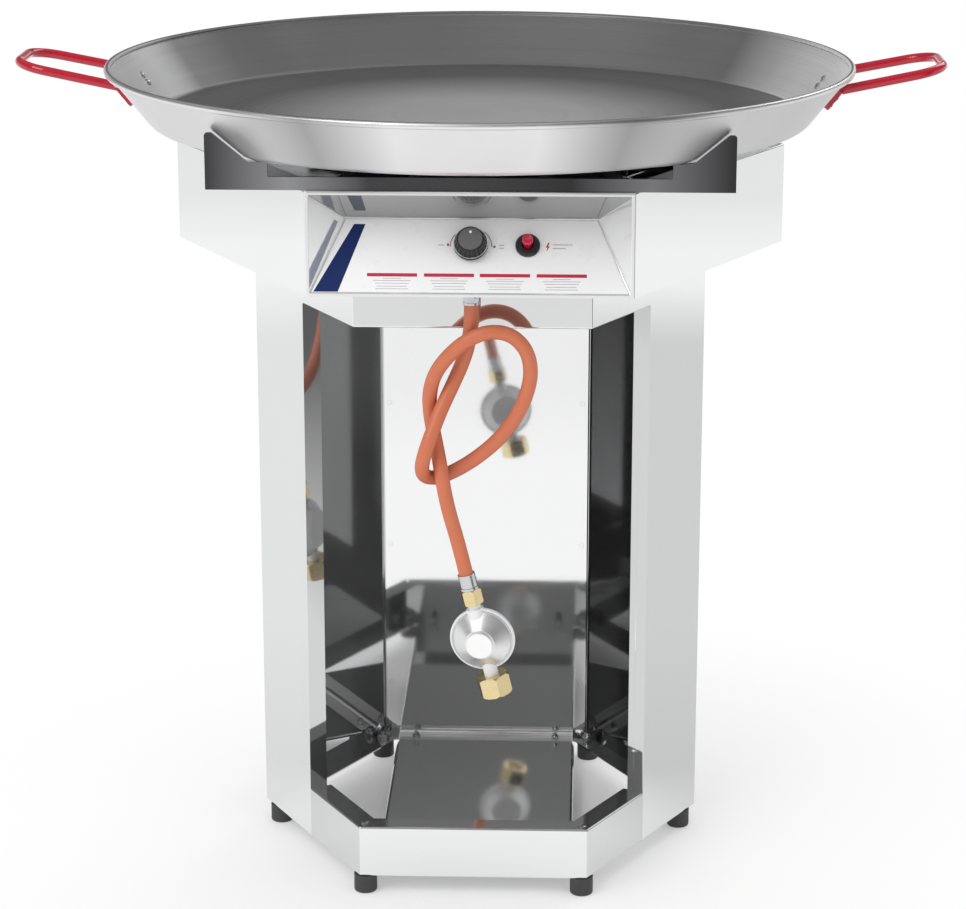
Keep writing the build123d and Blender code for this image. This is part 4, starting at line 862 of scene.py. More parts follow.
@dataclass
class Fasteners:
    """Cross-head screws, nuts on studs and domed rivets, in place of the plain ones of the frame."""

    screw_radius: float = 4.5 * MM  # radius of a screw's head
    screw_height: float = 2.3 * MM  # height of a screw's head
    screw_crown: float = 0.55  # share of its height that a screw's head loses at its edge
    screw_seat: float = 2.4 * MM  # distance from the end of the frame's head to its seat
    slot: Pair = (1.15, 0.24)  # length and width of each slot of the cross, as shares of the head's radius
    shank_radius: float = 2.4 * MM  # radius of a screw's shank
    tight_shank: float = 2.75 * MM  # radius of a shank that fills its hole
    shank_length: float = 2.95 * MM  # length of its shank
    shank_thread: Pair = (0.8 * MM, 0.06)  # pitch of its thread, and the thread's share of the radius
    foot: NuttedStud = NuttedStud(4.0 * MM, 13.0 * MM, 6.5 * MM, 1.5 * MM)  # sizes of a foot's stud and nut
    # sizes of a stud of the bottle plate and its nut
    plate: NuttedStud = NuttedStud(2.5 * MM, 8.0 * MM, 4.0 * MM, 5.4 * MM)
    bevel: Pair = (1.1, 1.62)  # width and height of the ball that bevels a nut, as shares of the nut's
    stud_thread: Pair = (1.25 * MM, 0.05)  # pitch of a stud's thread, and the thread's share of the radius
    rivet_radius: float = 4.2 * MM  # radius of a rivet's head
    rivet_height: float = 2.3 * MM  # height of a rivet's head
    rivet_shank: float = 2.5 * MM  # radius of a rivet
    rivet_tail: float = 3.5 * MM  # radius of a rivet's closed end
    rivet_tail_height: float = 0.9 * MM  # height of that end
    rivet_crowns: Pair = (0.8, 0.5)  # shares of their height that the head and the closed end lose at their edges
    rivet_overlap: float = 0.2 * MM  # length of the shank inside the head

    def build(self) -> None:
        """Make the screws, nuts and rivets."""
        self._screws()
        self._nuts()
        self._rivets()

    def _put(
        self,
        tree: FieldTree,
        node: str,
        kind: str,
        solids: Sequence[TurnedSolid],
        seats: Sequence[Vector],
        finish: Finish,
        body: Body = Body.CABINET,
        **sizes: float,
    ) -> None:
        """Put a tree's form in the place of each solid of a node.

        Args:
            tree: the tree.
            node: name of the node.
            kind: what the piece's name adds to the node's.
            solids: the node's solids.
            seats: where the form stands on each of them.
            finish: finish of the piece.
            body: body that it rides on.
            sizes: the tree's named inputs.
        """
        points = points_mesh(f"{node}_places", seats, axis=[solid.axis for solid in solids])
        settle(tree.grow(f"{node}_{kind}", points, finish, **sizes), body, Slot.ZINC, node)

    def _screws(self) -> None:
        """Screws with a domed head, a cross cut into it and a short ridged shank."""
        tree = FieldTree("cross_head_screw", "radius", "height", "shank", "reach")
        radius, height, shank, reach = tree.sizes
        head = tree.domed(tree.cylinder(24, radius, height, rings=4), radius, self.screw_crown)
        sides = [tree.times(radius, share) for share in self.slot]
        slots = [tree.lifted(tree.block(*pair, height), height) for pair in (sides, reversed(sides))]
        stem = tree.ridged(tree.cylinder(12, shank, reach, rows=12), *self.shank_thread)
        lowered = tree.lifted(stem, tree.times(reach, -1.0))
        tree.scatter(tree.joined(tree.without(head, *slots), lowered), turned=True)
        sizes = {"radius": self.screw_radius, "height": self.screw_height, "reach": self.shank_length}
        for node, finish, thickness in (
            ("rail_screws", FINISH.zinc, self.shank_radius),
            ("back_screws", FINISH.back_sheet, self.tight_shank),
            ("support_bolts", FINISH.zinc, self.shank_radius),
        ):
            solids = turned_solids(node)
            seats = [solid.head - solid.axis * self.screw_seat for solid in solids]
            self._put(tree, node, "cross_head", solids, seats, finish, shank=thickness, **sizes)

    def _nuts(self) -> None:
        """Threaded studs with a bevelled hexagon nut over its seat."""
        tree = FieldTree("nutted_stud", "stud", "corner", "height", "below", "length")
        stud, corner, height, below, length = tree.sizes
        ball = tree.add("GeometryNodeMeshUVSphere", {"Segments": 32, "Rings": 16, "Radius": 1.0}).outputs[0]
        wide, tall = self.bevel
        across = tree.times(corner, wide)
        bevel = tree.moved(ball, Scale=tree.vector(across, across, tree.times(height, tall)))
        nut = tree.lifted(tree.common(tree.cylinder(6, corner, height), bevel), below)
        bolt = tree.ridged(tree.cylinder(16, stud, length, rings=2, rows=36), *self.stud_thread)
        tree.scatter(tree.joined(nut, bolt), turned=True, seed=3)
        for node, sizes in (("foot_bolts", self.foot), ("plate_bolts", self.plate)):
            solids = turned_solids(node, lambda middle: Vector((0, 0, 1)))
            self._put(
                tree,
                node,
                "nutted",
                solids,
                [solid.tail for solid in solids],
                FINISH.zinc,
                stud=sizes.stud,
                corner=sizes.flats / 2 / math.cos(math.pi / 6),
                height=sizes.height,
                below=sizes.below,
                length=solids[0].length,
            )

    def _rivets(self) -> None:
        """Rivets with a domed head and a flatter closed end."""
        tree = FieldTree("domed_rivet", "radius", "height", "shank", "tail", "tail_height", "length")
        radius, height, shank, tail, tail_height, length = tree.sizes
        head_crown, tail_crown = self.rivet_crowns
        seat = tree.math("SUBTRACT", length, height)
        head = tree.lifted(tree.domed(tree.cylinder(24, radius, height, rings=5), radius, head_crown), seat)
        closed = tree.domed(tree.cylinder(20, tail, tail_height, rings=3), tail, tail_crown)
        turned = tree.moved(closed, Rotation=tree.vector(math.pi), Translation=tree.vector(z=tail_height))
        stem = tree.cylinder(16, shank, tree.math("ADD", seat, self.rivet_overlap))
        tree.scatter(tree.joined(head, turned, stem))
        solids = turned_solids("handle_rivets", lambda middle: Vector((-middle.x, -middle.y, 0)))
        self._put(
            tree,
            "handle_rivets",
            "domed",
            solids,
            [solid.tail for solid in solids],
            FINISH.zinc,
            Body.PAN,
            radius=self.rivet_radius,
            height=self.rivet_height,
            shank=self.rivet_shank,
            tail=self.rivet_tail,
            tail_height=self.rivet_tail_height,
            length=solids[0].length,
        )


@dataclass
class Studio:
    """Pale floor, white surroundings, soft light and the camera at the photograph's place."""

    position: Vector = field(default_factory=lambda: Vector((0.1123772, -3.1833007, 1.3497991)))  # the camera's place
    yaw: float = 0.0342  # turn of the camera to the left, in radians
    pitch: float = 0.2798  # its tilt below the horizon, in radians
    lens: float = 111.1925  # its focal length, in millimetres
    sensor: float = 36.0  # width of its sensor, in millimetres
    sight: float = 100.0  # distance up to which it sees
    # name, place, width and power of each soft lamp
    lamps: tuple[tuple[str, Triple, float, float], ...] = (
        ("key_softbox", (-2.2, -2.6, 3.4), 2.4, 60.0),
        ("back_softbox", (1.8, 2.6, 3.0), 2.0, 26.0),
    )
    floor_reach: float = 20.0  # half of the floor's width
    floor_colour: Colour = (0.94, 0.94, 0.94)  # linear colour of the floor
    floor_roughness: float = 0.9
    shadow_reach: Pair = (0.0, 0.75)  # radii between which the floor fades to the background
    mirror_reach: Pair = (0.15, 0.4)  # radii between which it does in reflections
    fill: float = 0.86  # level of the soft light from all round
    backdrop: Pair = (0.02, 0.26)  # sines of the elevation between which the white backdrop ends for reflections
    ceiling: float = 0.36  # level of the ceiling in reflections
    ceiling_top: float = 0.9  # sine of the elevation where that level is reached
    gloom: float = 0.07  # level above the backdrop in reflections
    # shares across and towards the camera of the direction of the two dark flags that the sheets mirror
    flag_way: Pair = (0.839, 0.545)
    flag_edge: Pair = (0.955, 0.985)  # cosine from their middle where the flags begin and are full
    flag_levels: Pair = (0.95, 0.12)  # levels of the left and the right flag far from the object
    flag_reach: Pair = (0.25, 2.2)  # radii between which the flags show on the floor
    front_level: float = 0.8  # level of the floor far in front, in reflections
    front_reach: Pair = (2.1, 2.6)  # distances in front between which the floor falls to that level
    # shares across and towards the camera of the direction of two soft patches on the floor behind
    rear_way: Pair = (0.8, -0.6)
    rear_edge: Pair = (0.5, 0.85)  # cosine from their middle where the patches begin and are full
    rear_levels: Pair = (0.84, 0.68)  # levels of the left and the right patch
    rear_reach: Pair = (2.5, 3.0)  # radii between which those patches end
    rear_near: float = 0.9  # share of a patch's level close to the object
    rear_near_reach: Pair = (0.35, 0.9)  # radii between which that share ends
    far_level: float = 0.88  # level of the floor far from the object, in reflections
    far_reach: Pair = (3.4, 4.0)  # radii between which the floor falls to that level

    def build(self) -> None:
        """Make the floor, the surroundings, the lamps and the camera."""
        bpy.context.scene.view_settings.view_transform = "Standard"
        self._floor()
        self._world()
        for lamp in self.lamps:
            self._lamp(*lamp)
        self._camera()

    def _sided(self, graph: Graph, heading: Socket, way: Pair) -> list[Socket]:
        """Cosines from a direction on the left and its image on the right."""
        side, front = way
        return [graph.measure("DOT_PRODUCT", heading, (turn * side, -front, 0.0)) for turn in (-1.0, 1.0)]

    def _flagged(self, graph: Graph, heading: Socket, near: Value = 1.0) -> Socket:
        """Level of the dark flags in a direction along the floor, where near weighs them."""
        level = 1.0
        for dot, dark in zip(self._sided(graph, heading, self.flag_way), self.flag_levels):
            share = graph.times(graph.span(dot, 0.0, 1.0, *self.flag_edge), near)
            level = graph.times(graph.span(share, 1.0, dark), level)
        return level

    def _floor(self) -> None:
        """Floor that keeps the object's shadow and fades to white around it."""
        reach = self.floor_reach
        mesh = bpy.data.meshes.new("floor")
        corners = [(-reach, -reach, 0), (reach, -reach, 0), (reach, reach, 0), (-reach, reach, 0)]
        mesh.from_pydata(corners, [], [(0, 1, 2, 3)])
        graph = MaterialGraph("pale_floor")
        graph.set(Base_Color=(*self.floor_colour, 1.0), Roughness=self.floor_roughness, Specular_IOR_Level=0.0)
        far = graph.measure("LENGTH", graph.place)
        path = graph.add("ShaderNodeLightPath").outputs
        glossy = path["Is Glossy Ray"]
        level = graph.mix(glossy, 1.0, self._mirrored_floor(graph, far))
        shadow = graph.span(far, 0.0, 1.0, *self.shadow_reach)
        fade = graph.math("MAXIMUM", shadow, graph.times(glossy, graph.span(far, 0.0, 1.0, *self.mirror_reach)))
        white = graph.add("ShaderNodeEmission", {"Color": (1, 1, 1, 1), "Strength": level}).outputs[0]
        mirrored = graph.math("MAXIMUM", glossy, path["Is Transmission Ray"])
        share = graph.times(fade, graph.math("MAXIMUM", path["Is Camera Ray"], mirrored))
        mixed = graph.add("ShaderNodeMixShader", {0: share, 1: graph.shader.outputs[0], 2: white}).outputs[0]
        graph.add("ShaderNodeOutputMaterial", {"Surface": mixed}).is_active_output = True
        mesh.materials.append(graph.material)
        linked("floor", mesh)

    def _mirrored_floor(self, graph: MaterialGraph, far: Socket) -> Socket:
        """Level that the sheets mirror from each place of the floor."""
        heading = graph.vectors("NORMALIZE", graph.place)
        flags = self._flagged(graph, heading, graph.span(far, 0.0, 1.0, *self.flag_reach))
        ahead = graph.times(graph.parts(graph.place)[1], -1.0)
        front = graph.span(ahead, 1.0, self.front_level, *self.front_reach)
        outer = graph.span(far, 1.0, self.far_level, *self.far_reach)
        level = graph.times(graph.times(flags, front), outer)
        close = graph.span(far, 1.0, 0.0, *self.rear_reach)
        for dot, soft in zip(self._sided(graph, heading, self.rear_way), self.rear_levels):
            share = graph.times(graph.span(dot, 0.0, 1.0, *self.rear_edge), close)
            beside = graph.span(far, self.rear_near * soft, soft, *self.rear_near_reach)
            level = graph.times(level, graph.mix(share, 1.0, beside))
        return level

    def _world(self) -> None:
        """Surroundings: white to the camera, a white backdrop under a darker room in reflections."""
        world = bpy.data.worlds.new("studio")
        world.use_nodes = True
        world.node_tree.nodes.clear()
        graph = Graph(world.node_tree)
        path = graph.add("ShaderNodeLightPath").outputs
        direction = graph.add("ShaderNodeTexCoord").outputs["Generated"]
        height = graph.parts(direction)[2]
        room = graph.span(height, self.gloom, self.ceiling, self.backdrop[1], self.ceiling_top)
        level = graph.mix(graph.span(height, 1.0, 0.0, *self.backdrop), room, 1.0)
        mirrored = graph.times(level, self._flagged(graph, direction))
        soft = graph.mix(path["Is Glossy Ray"], self.fill, mirrored)
        plain = graph.math("MAXIMUM", path["Is Camera Ray"], path["Is Transmission Ray"])
        strength = graph.mix(plain, soft, 1.0)
        light = graph.add("ShaderNodeBackground", {"Color": (1, 1, 1, 1), "Strength": strength}).outputs[0]
        graph.add("ShaderNodeOutputWorld", {"Surface": light})
        bpy.context.scene.world = world

    def _aimed(self, name: str, data: bpy.types.ID, place: Vector, ahead: Vector) -> bpy.types.Object:
        """Lamp or camera at a place that looks along a direction."""
        made = linked(name, data)
        made.location = place
        made.rotation_mode = "QUATERNION"
        made.rotation_quaternion = ahead.to_track_quat("-Z", "Y")
        return made

    def _lamp(self, name: str, place: Triple, width: float, power: float) -> None:
        """Square soft lamp that faces the middle of the object and isn't seen itself."""
        lamp = bpy.data.lights.new(name, "AREA")
        lamp.size = width
        lamp.energy = power
        middle = (CAD_BOX[0] + CAD_BOX[1]) / 2
        self._aimed(name, lamp, Vector(place), middle - Vector(place)).visible_camera = False

    def _camera(self) -> None:
        """Camera at the photograph's viewing angle."""
        lens = bpy.data.cameras.new("camera")
        lens.sensor_width = self.sensor
        lens.lens = self.lens
        lens.clip_end = self.sight
        level = math.cos(self.pitch)
        ahead = Vector((-math.sin(self.yaw) * level, math.cos(self.yaw) * level, -math.sin(self.pitch)))
        bpy.context.scene.camera = self._aimed("camera", lens, self.position, ahead)


@dataclass
class GasHose:
    """Orange hose that hangs from the inlet, goes once through its own loop and ends at the regulator."""

    # points of its route, in millimetres
    route: tuple[Triple, ...] = (
        (0, -245, 663), (0, -245, 644), (-2.5, -240, 622.9), (-8.6, -233, 600.7), (-18.9, -235, 577.3),
        (-30.3, -246, 554.6), (-39.6, -257, 531.8), (-47, -263, 511.2), (-51.1, -258, 492.9), (-48, -245, 480.1),
        (-34.4, -233, 476.1), (-14.6, -228, 483.9), (6.1, -230, 498), (26.8, -235, 517.4), (44.3, -240, 541),
        (56.5, -244, 567.7), (61.5, -248, 594.4), (56.2, -252, 618.7), (39.6, -256, 635.5), (17, -260, 638.6),
        (-4.6, -260, 629), (-23, -256, 612), (-37.5, -248, 590.8), (-43.6, -238, 566.5), (-42.6, -231, 540.9),
        (-37.5, -236, 517.2), (-32.4, -248, 496.4), (-28.3, -257, 473.4), (-23, -253, 445.2), (-14, -250, 413),
        (-5.6, -248.5, 377.5),
    )
    length: float = 0.754
    diameter: float = 0.015
    rim_radius: float = 31.6 * MM  # radius of the bright rim on the regulator's cover
    rim_width: float = 0.75 * MM  # half of the rim's width
    rim_height: float = 0.8 * MM  # height of the rim over the cover
    rim_sink: float = 0.3 * MM  # depth of the rim in the cover
    rim_flat: float = 0.6  # share of the rim's width and height up to its rounding

    def build(self) -> None:
        curve = bpy.data.curves.new("gas_hose_tube", "CURVE")
        curve.dimensions = "3D"
        curve.bevel_depth = self.diameter / 2
        curve.bevel_resolution = 7
        curve.use_fill_caps = True
        line = curve.splines.new("NURBS")
        line.points.add(len(self.route) - 1)
        for point, place in zip(line.points, self.route):
            point.co = (*(part * MM for part in place), 1.0)
        line.order_u = 3
        line.use_endpoint_u = True
        line.resolution_u = 10
        curve.materials.append(FINISH.hose.material())
        hose = settle(linked("gas_hose_tube", curve), Body.CABINET, Slot.HOSE, "gas_hose")
        tuple(part * MM for part in self.route[0])
        self.length
        dress(FINISH.zinc, "hose_top_ferrule", "hose_end_ferrule", "inlet_nut", "inlet_pipe")
        dress(FINISH.brass, "hose_nut", "union_nut")
        dress(FINISH.blasted, "regulator_body")
        dress(FINISH.die_cast, "regulator_cover")
        dress(FINISH.white, "regulator_disc")
        self._rim()

    def _rim(self) -> None:
        """Bright rolled rim round the regulator's cover."""
        disc = turned_solids("regulator_disc", lambda middle: Vector((0, -1, 0)))[0]
        cover = frame["nodes"]["regulator_cover"].data.vertices
        seat = min((vertex.co - disc.tail).dot(disc.axis) for vertex in cover)
        turn = disc.axis.to_track_quat("Z", "Y").to_matrix().to_4x4()
        place = Matrix.Translation(disc.tail + disc.axis * seat) @ turn
        low, high, half, flat = -self.rim_sink, self.rim_height, self.rim_width, self.rim_flat
        right = [(half, low), (half, high * flat), (half * flat, high)]
        section = [*right, *((-aside, rise) for aside, rise in reversed(right)), right[0]]
        shape = Shape().lathe([(self.rim_radius + aside, rise) for aside, rise in section], place, 96)
        settle(shape.piece("regulator_rim", FINISH.zinc), Body.CABINET, Slot.ZINC)


@dataclass
class ControlPanel:
    """Print on the sloping label, the knob and the igniter."""

    ink: float = 0.06 * MM  # thickness of the print
    band_low: Pair = (-156.4 * MM, -131.9 * MM)  # left and right end of the blue band's foot, from the middle
    band_high: Pair = (-118.2 * MM, -106.7 * MM)  # the same at its top
    band_gap: float = 5.5 * MM  # white strip left above the band
    bar_starts: tuple[float, ...] = (-103.3 * MM, -46.3 * MM, 9.6 * MM, 66.3 * MM)  # left ends of the four red bars
    bar_width: float = 50.2 * MM
    bar_height: float = 3.7 * MM
    bar_up: float = 17.0 * MM  # height of the bars' lower edges up the slope
    # height up the slope and width of each fine line under a bar, in millimetres
    rules: tuple[Pair, ...] = ((15.0, 18.0), (12.6, 37.6), (9.7, 34.0), (6.4, 30.0), (3.6, 33.0))
    rule_height: float = 0.7 * MM
    arc_radius: float = 20.5 * MM  # radius of the arcs beside the knob
    arc_width: float = 0.8 * MM
    arcs: tuple[Pair, ...] = ((140, 180), (0, 50))  # first and last angle of each arc, in degrees
    # left end, height over the knob's middle and width of each line beside the knob and the igniter, in millimetres
    signs: tuple[Triple, ...] = (
        (-33.0, 1.5, 6.0), (28.5, 1.6, 4.9), (28.5, -1.6, 4.9), (82.0, 2.6, 20.0), (82.0, -1.4, 13.0)
    )
    sign_height: float = 1.1 * MM  # height of such a line
    bolt_across: float = 77.0 * MM  # place of the igniter's bolt sign, from the middle
    # outline of that sign, in millimetres
    bolt: tuple[Pair, ...] = ((0.6, 5.0), (-2.2, -0.5), (-0.3, -0.3), (-1.4, -5.0), (2.2, 1.0), (0.3, 0.8), (2.0, 5.0))
    flame_across: float = -23.0 * MM  # place of the flame sign, from the middle
    flame_up: float = 2.0 * MM  # height of the flame sign over the knob's middle
    # outline of that sign, in millimetres
    flame: tuple[Pair, ...] = (
        (0.2, 2.4), (-0.9, 0.9), (-1.2, -0.5), (-0.7, -1.4), (0.4, -1.6), (1.1, -0.8), (1.0, 0.3), (0.4, 1.2)
    )
    dot_across: float = 23.5 * MM  # place of the off sign, from the middle
    dot_radius: float = 1.3  # radius of that sign, in millimetres
    flutes: int = 20  # flutes round the knob
    flute_depth: float = 1.1 * MM  # their depth
    lobes: int = 8  # lobes round the igniter's button
    lobe_depth: float = 0.55 * MM  # their depth

    def __post_init__(self) -> None:
        """Take the panel's plane from the label and the knob's joint."""
        turn = next(joint for joint in frame["joints"] if joint["name"] == "knob_turn")
        self.normal = Vector(turn["axis"]).normalized()
        self.up = Vector((1, 0, 0)).cross(self.normal) * -1
        low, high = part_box("control_label")
        size = high - low
        rise, run = self.up.z, self.up.y
        self.film = (size.y * rise - size.z * run) / (rise**2 - run**2)
        self.height = (size.z - self.film * run) / rise
        self.foot = Vector((0.0, low.y, low.z + self.film * self.normal.z))
        self.knob_up = (Vector(turn["pos_m"]) - self.foot).dot(self.up)

    def at(self, across: float, up: float) -> Vector:
        """Point on the label, across from its middle and up from its lower edge."""
        return self.foot + Vector((across, 0, 0)) + self.up * up

    def build(self) -> None:
        """Print the label, and make the knob and the igniter's button."""
        dress(FINISH.film, "control_label")
        dress(FINISH.black, "igniter_bezel", "igniter_barrel", "igniter_nut")
        dress(FINISH.white, "knob_dot")
        self._print("label_band", FINISH.navy, [self._band()])
        bars = [self._block(start, self.bar_up, self.bar_width, self.bar_height) for start in self.bar_starts]
        bolt = self._sign(self.bolt_across, 0.0, self.bolt)
        flame = self._sign(self.flame_across, self.flame_up, self.flame)
        self._print("label_bars", FINISH.crimson, [*bars, bolt, flame])
        marks = [self._arc(math.radians(first), math.radians(last)) for first, last in self.arcs]
        self._print("label_marks", FINISH.grey_ink, [*marks, self._spot()])
        self._rules()
        self._knob()
        self._button()

    def _print(self, name: str, finish: Finish, outlines: Iterable[Sequence[Vector]]) -> None:
        """Piece of flat print on the label."""
        shape = Shape()
        for outline in outlines:
            shape.prism(outline, self.normal * self.ink)
        settle(shape.piece(name, finish), Body.CABINET, Slot.LABEL)

    def _block(self, start: float, up: float, width: float, height: float) -> list[Vector]:
        """Corners of an upright rectangle on the label."""
        spots = ((start, up), (start + width, up), (start + width, up + height), (start, up + height))
        return [self.at(*spot) for spot in spots]

    def _band(self) -> list[Vector]:
        """Corners of the slanted band at the label's left end."""
        (low_left, low_right), (high_left, high_right) = self.band_low, self.band_high
        top = self.height - self.band_gap
        return [self.at(low_left, 0.0), self.at(low_right, 0.0), self.at(high_right, top), self.at(high_left, top)]

    def _sign(self, across: float, up: float, outline: Sequence[Pair]) -> list[Vector]:
        """Outline in millimetres about a spot that lies a height over the knob's middle."""
        return [self.at(across + aside * MM, self.knob_up + up + rise * MM) for aside, rise in outline]

    def _spot(self, steps: int = 20) -> list[Vector]:
        """Round spot beside the knob, on the side where the gas is off."""
        return self._sign(self.dot_across, 0.0, along_arc((0.0, 0.0), self.dot_radius, 0.0, FULL_TURN, steps)[:-1])

    def _arc(self, first: float, last: float, steps: int = 16) -> list[Vector]:
        """Outline of an arc about the knob."""
        radii = (self.arc_radius, self.arc_radius + self.arc_width)
        inner, outer = (along_arc((0.0, self.knob_up), radius, first, last, steps) for radius in radii)
        return [self.at(*spot) for spot in (*inner, *reversed(outer))]

    def _rules(self) -> None:
        """Rows of fine lines under the bars and beside the knob and the igniter."""
        places, sizes = [], []
        for start in self.bar_starts:
            for up, width in self.rules:
                places.append(self.at(start + self.bar_width / 2, up * MM))
                sizes.append(Vector((width * MM, self.rule_height, self.ink)))
        for start, up, width in self.signs:
            places.append(self.at((start + width / 2) * MM, self.knob_up + up * MM))
            sizes.append(Vector((width * MM, self.sign_height, self.ink)))
        places = [place + self.normal * self.ink / 2 for place in places]
        tree = FieldTree("printed_line", "side")
        tree.scatter(tree.block(*tree.sizes * 3), Scale=tree.attribute("size"))
        points = points_mesh("label_lines_places", places, axis=[self.normal] * len(places), size=sizes)
        settle(tree.grow("label_lines", points, FINISH.pale_ink, side=1.0), Body.CABINET, Slot.LABEL)

    def _standing(self, across: float, up: float) -> Matrix:
        """Matrix of a frame on the panel whose Z goes out of it."""
        spot = self.at(across, up) - self.normal * self.film
        turn = Matrix((Vector((1, 0, 0)), self.up, self.normal)).transposed().to_4x4()
        return Matrix.Translation(spot) @ turn

    def _hollowed(self, count: int, depth: float, first: int, number: int) -> Callable[[int, float, float], float]:
        """Radius of a turned form that has hollows round some of its rings.

        Args:
            count: hollows in a ring.
            depth: their depth.
            first: first ring that has them.
            number: how many rings have them.

        Returns:
            Function of the ring, the angle and the plain radius.
        """
        rings = range(first, first + number)
        return lambda ring, angle, radius: radius - (
            depth * (0.5 + 0.5 * math.cos(count * angle)) ** 2 if ring in rings else 0.0
        )

    def _knob(self) -> None:
        """Fluted knob with a bright ring over its skirt and a grey cap."""
        place = self._standing(0.0, self.knob_up)
        skirt = [(0.0, 5.1), (16.7, 5.1), (17.4, 5.6), (17.4, 8.2), (17.0, 8.9)]
        neck = [(16.2, 9.0), (16.2, 10.2), (16.5, 10.5)]
        flutes = [(16.4, 11.0), (15.8, 13.0), (15.1, 15.0), (14.4, 17.0), (13.9, 18.6)]
        lip = [(13.5, 19.3), (13.0, 19.7), (12.5, 19.7), (12.3, 19.4), (0.0, 19.4)]
        hollows = self._hollowed(self.flutes, self.flute_depth, len(skirt) + len(neck), len(flutes))
        shape = Shape().lathe(in_metres((*skirt, *neck, *flutes, *lip)), place, self.flutes * 8, hollows)
        settle(shape.piece("knob_fluted", FINISH.black), Body.KNOB, Slot.BLACK, "knob")
        section = ((15.9, 8.95), (17.0, 8.95), (17.35, 9.3), (17.1, 9.9), (15.9, 9.9), (15.9, 8.95))
        ring = Shape().lathe(in_metres(section), place, 96)
        settle(ring.piece("knob_ring", FINISH.zinc), Body.KNOB, Slot.ZINC)
        face = ((0.0, 19.1), (12.2, 19.1), (12.2, 19.7), (11.9, 19.93), (11.3, 20.0), (0.0, 20.0))
        cap = Shape().lathe(in_metres(face), place, 96)
        settle(cap.piece("knob_cap", FINISH.cap), Body.KNOB, Slot.BLACK)

    def _button(self) -> None:
        """Lobed red button of the igniter, on a narrower stem."""
        low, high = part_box("igniter_button")
        middle = (low + high) / 2 - self.foot
        place = self._standing(middle.x, middle.dot(self.up))
        stem = [(0.0, -11.8), (4.7, -11.8), (4.7, 5.4), (4.75, 6.0)]
        crown = [(4.95, 8.0), (5.3, 10.5), (5.6, 13.0), (5.72, 15.0), (5.72, 16.4), (5.45, 17.4), (4.9, 17.9)]
        dish = [(4.2, 17.85), (3.3, 17.45), (1.8, 17.2), (0.0, 17.1)]
        hollows = self._hollowed(self.lobes, self.lobe_depth, len(stem), len(crown))
        shape = Shape().lathe(in_metres((*stem, *crown, *dish)), place, self.lobes * 12, hollows)
        settle(shape.piece("igniter_button_lobed", FINISH.red_button, 50.0), Body.IGNITER, Slot.RED, "igniter_button")


@dataclass
class Pan:
    """Wide pan, turned finely, with a rolled bead along its rim."""

    base_radius: float = 352.0 * MM  # radius of the base where the wall's line meets it
    sheet: float = 2.0 * MM  # thickness of the pan
    bend: float = 12.0 * MM  # radius of the bend inside, between the base and the wall
    bead: float = 3.5 * MM  # radius of the bead
    steps: int = 192  # points in each ring
    bend_steps: int = 6
    bead_steps: int = 24
    rings: Triple = (0.25, 0.5, 0.75)  # shares of the base's radius where it has rings

    def build(self) -> None:
        """Turn the pan."""
        low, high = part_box("pan")
        profile = self._profile(high.x, high.z - low.z)
        shape = Shape().lathe(profile, Matrix.Translation((0, 0, low.z)), self.steps)
        settle(shape.piece("pan_turned", FINISH.pan), Body.PAN, Slot.PAN, "pan")

    def _profile(self, radius: float, height: float) -> list[Pair]:
        """Section of the pan, from the middle of its underside round the bead to the middle inside."""
        rim, top = radius - self.bead, height - self.bead
        slope = math.atan2(top, rim - self.base_radius)
        outer = self.bend + self.sheet
        centre = self.base_radius - outer * math.tan(slope / 2)
        turn = (-math.pi / 2, slope - math.pi / 2)
        under, inside = (along_arc((centre, outer), bend, *turn, self.bend_steps) for bend in (outer, self.bend))
        first = math.pi + slope
        last = first + FULL_TURN - math.asin(self.sheet / self.bead)
        bead = along_arc((rim, top), self.bead, first, last, self.bead_steps)
        flat = [0.0, *(centre * share for share in self.rings)]
        base = [(reach, 0.0) for reach in flat]
        return [*base, *under, *bead, *reversed(inside), *((reach, self.sheet) for reach in reversed(flat))]


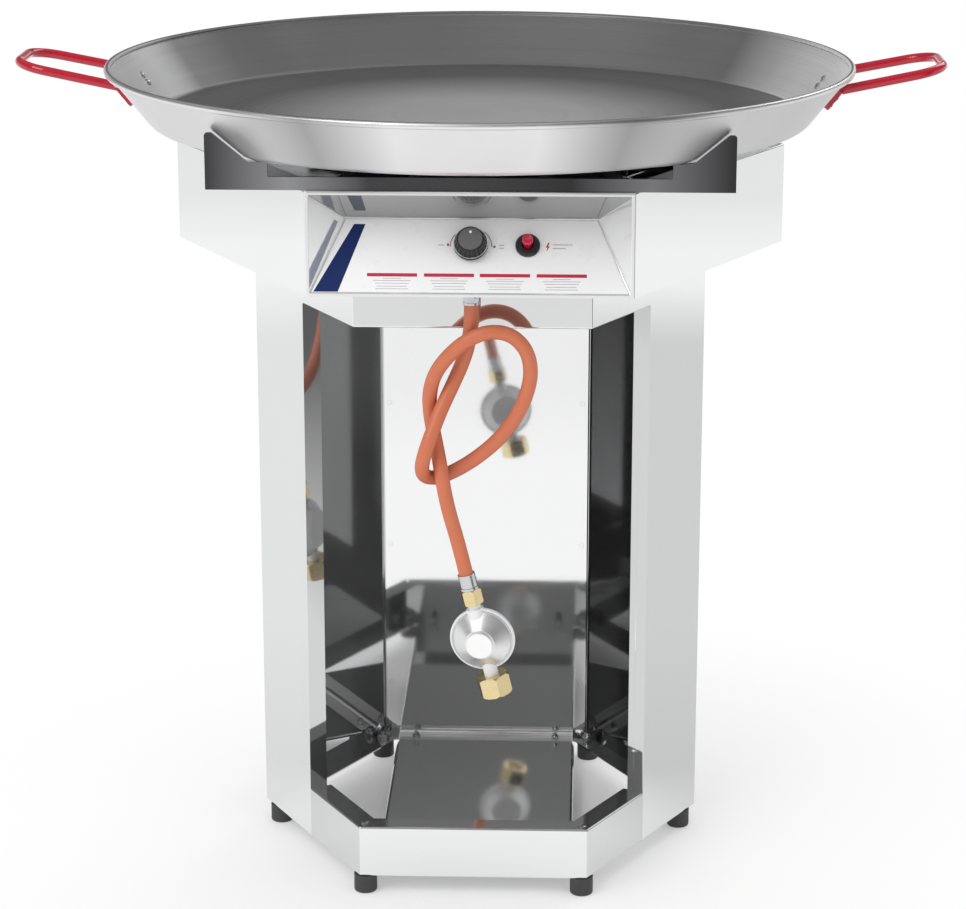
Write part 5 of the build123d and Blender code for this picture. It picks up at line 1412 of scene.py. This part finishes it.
@dataclass
class Burner:
    """Iron burner with flame ports on the bevelled edges of its two rings."""

    # radius of each row of ports in millimetres, how many it has, and 1 or -1 for outwards or inwards
    port_rows: tuple[tuple[float, int, int], ...] = (
        (159.0, 90, 1), (141.0, 80, -1), (84.0, 48, 1), (66.0, 36, -1)
    )
    port_drop: float = 3.0 * MM  # how far below the rings' top they sit
    port_radius: float = 1.7 * MM  # radius of a port's lip
    port_bore: float = 1.1 * MM  # radius of its bore
    port_height: float = 0.7 * MM  # height of the lip

    def build(self) -> None:
        """Dress the burner and set its ports."""
        dress(FINISH.iron, "burner", "mixing_tube")
        tree = FieldTree("flame_port", "radius", "bore", "height")
        radius, bore, height = tree.sizes
        double = tree.times(height, 2.0)
        lip = tree.lifted(tree.cylinder(10, radius, double), tree.times(height, -1.0))
        tree.scatter(tree.without(lip, tree.cylinder(10, bore, double)))
        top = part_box("burner")[1].z - self.port_drop
        places, axes = [], []
        for ring, count, side in self.port_rows:
            for number in range(count):
                angle = FULL_TURN * (number + 0.5) / count
                out = Vector((math.cos(angle), math.sin(angle), 0.0))
                places.append(out * ring * MM + Vector((0, 0, top)))
                axes.append((out * side + Vector((0, 0, 1))).normalized())
        made = tree.grow(
            "burner_ports",
            points_mesh("burner_ports_places", places, axis=axes),
            FINISH.iron,
            radius=self.port_radius,
            bore=self.port_bore,
            height=self.port_height,
        )
        settle(made, Body.CABINET, Slot.IRON)


def main() -> None:
    """Build the stand's pieces and the studio."""
    logging.basicConfig(level=logging.INFO, format="%(name)s: %(message)s")
    Studio().build()
    GasHose().build()
    ControlPanel().build()
    Burner().build()
    Fasteners().build()
    dress(FINISH.sheet, "front_top_rail", "box_left_wall", "box_right_wall", "box_back_wall")
    dress(FINISH.rail_sheet, "front_bottom_rail")
    dress(FINISH.plate_sheet, "bottle_plate", "box_floor")
    dress(FINISH.side_sheet, "left_side_panel")
    dress(FINISH.right_sheet, "right_side_panel")
    dress(FINISH.back_sheet, "back_panel")
    dress(FINISH.fascia_sheet, "control_fascia")
    Pan().build()
    dress(FINISH.red_coat, "left_handle", "right_handle", "ignition_lead")
    dress(FINISH.dark_plate, "pan_support_front", "pan_support_back")
    dress(FINISH.rubber, "feet")
    dress(FINISH.zinc, "sensor_plate", "burner_legs", "injector_bracket")
    dress(FINISH.brass, "valve_spindle", "valve_sleeve", "gas_valve", "injector")
    dress(FINISH.copper, "gas_pipe", "thermocouple", "thermocouple_lead")
    dress(FINISH.ceramic, "electrode")


if __name__ == "__main__":
    main()
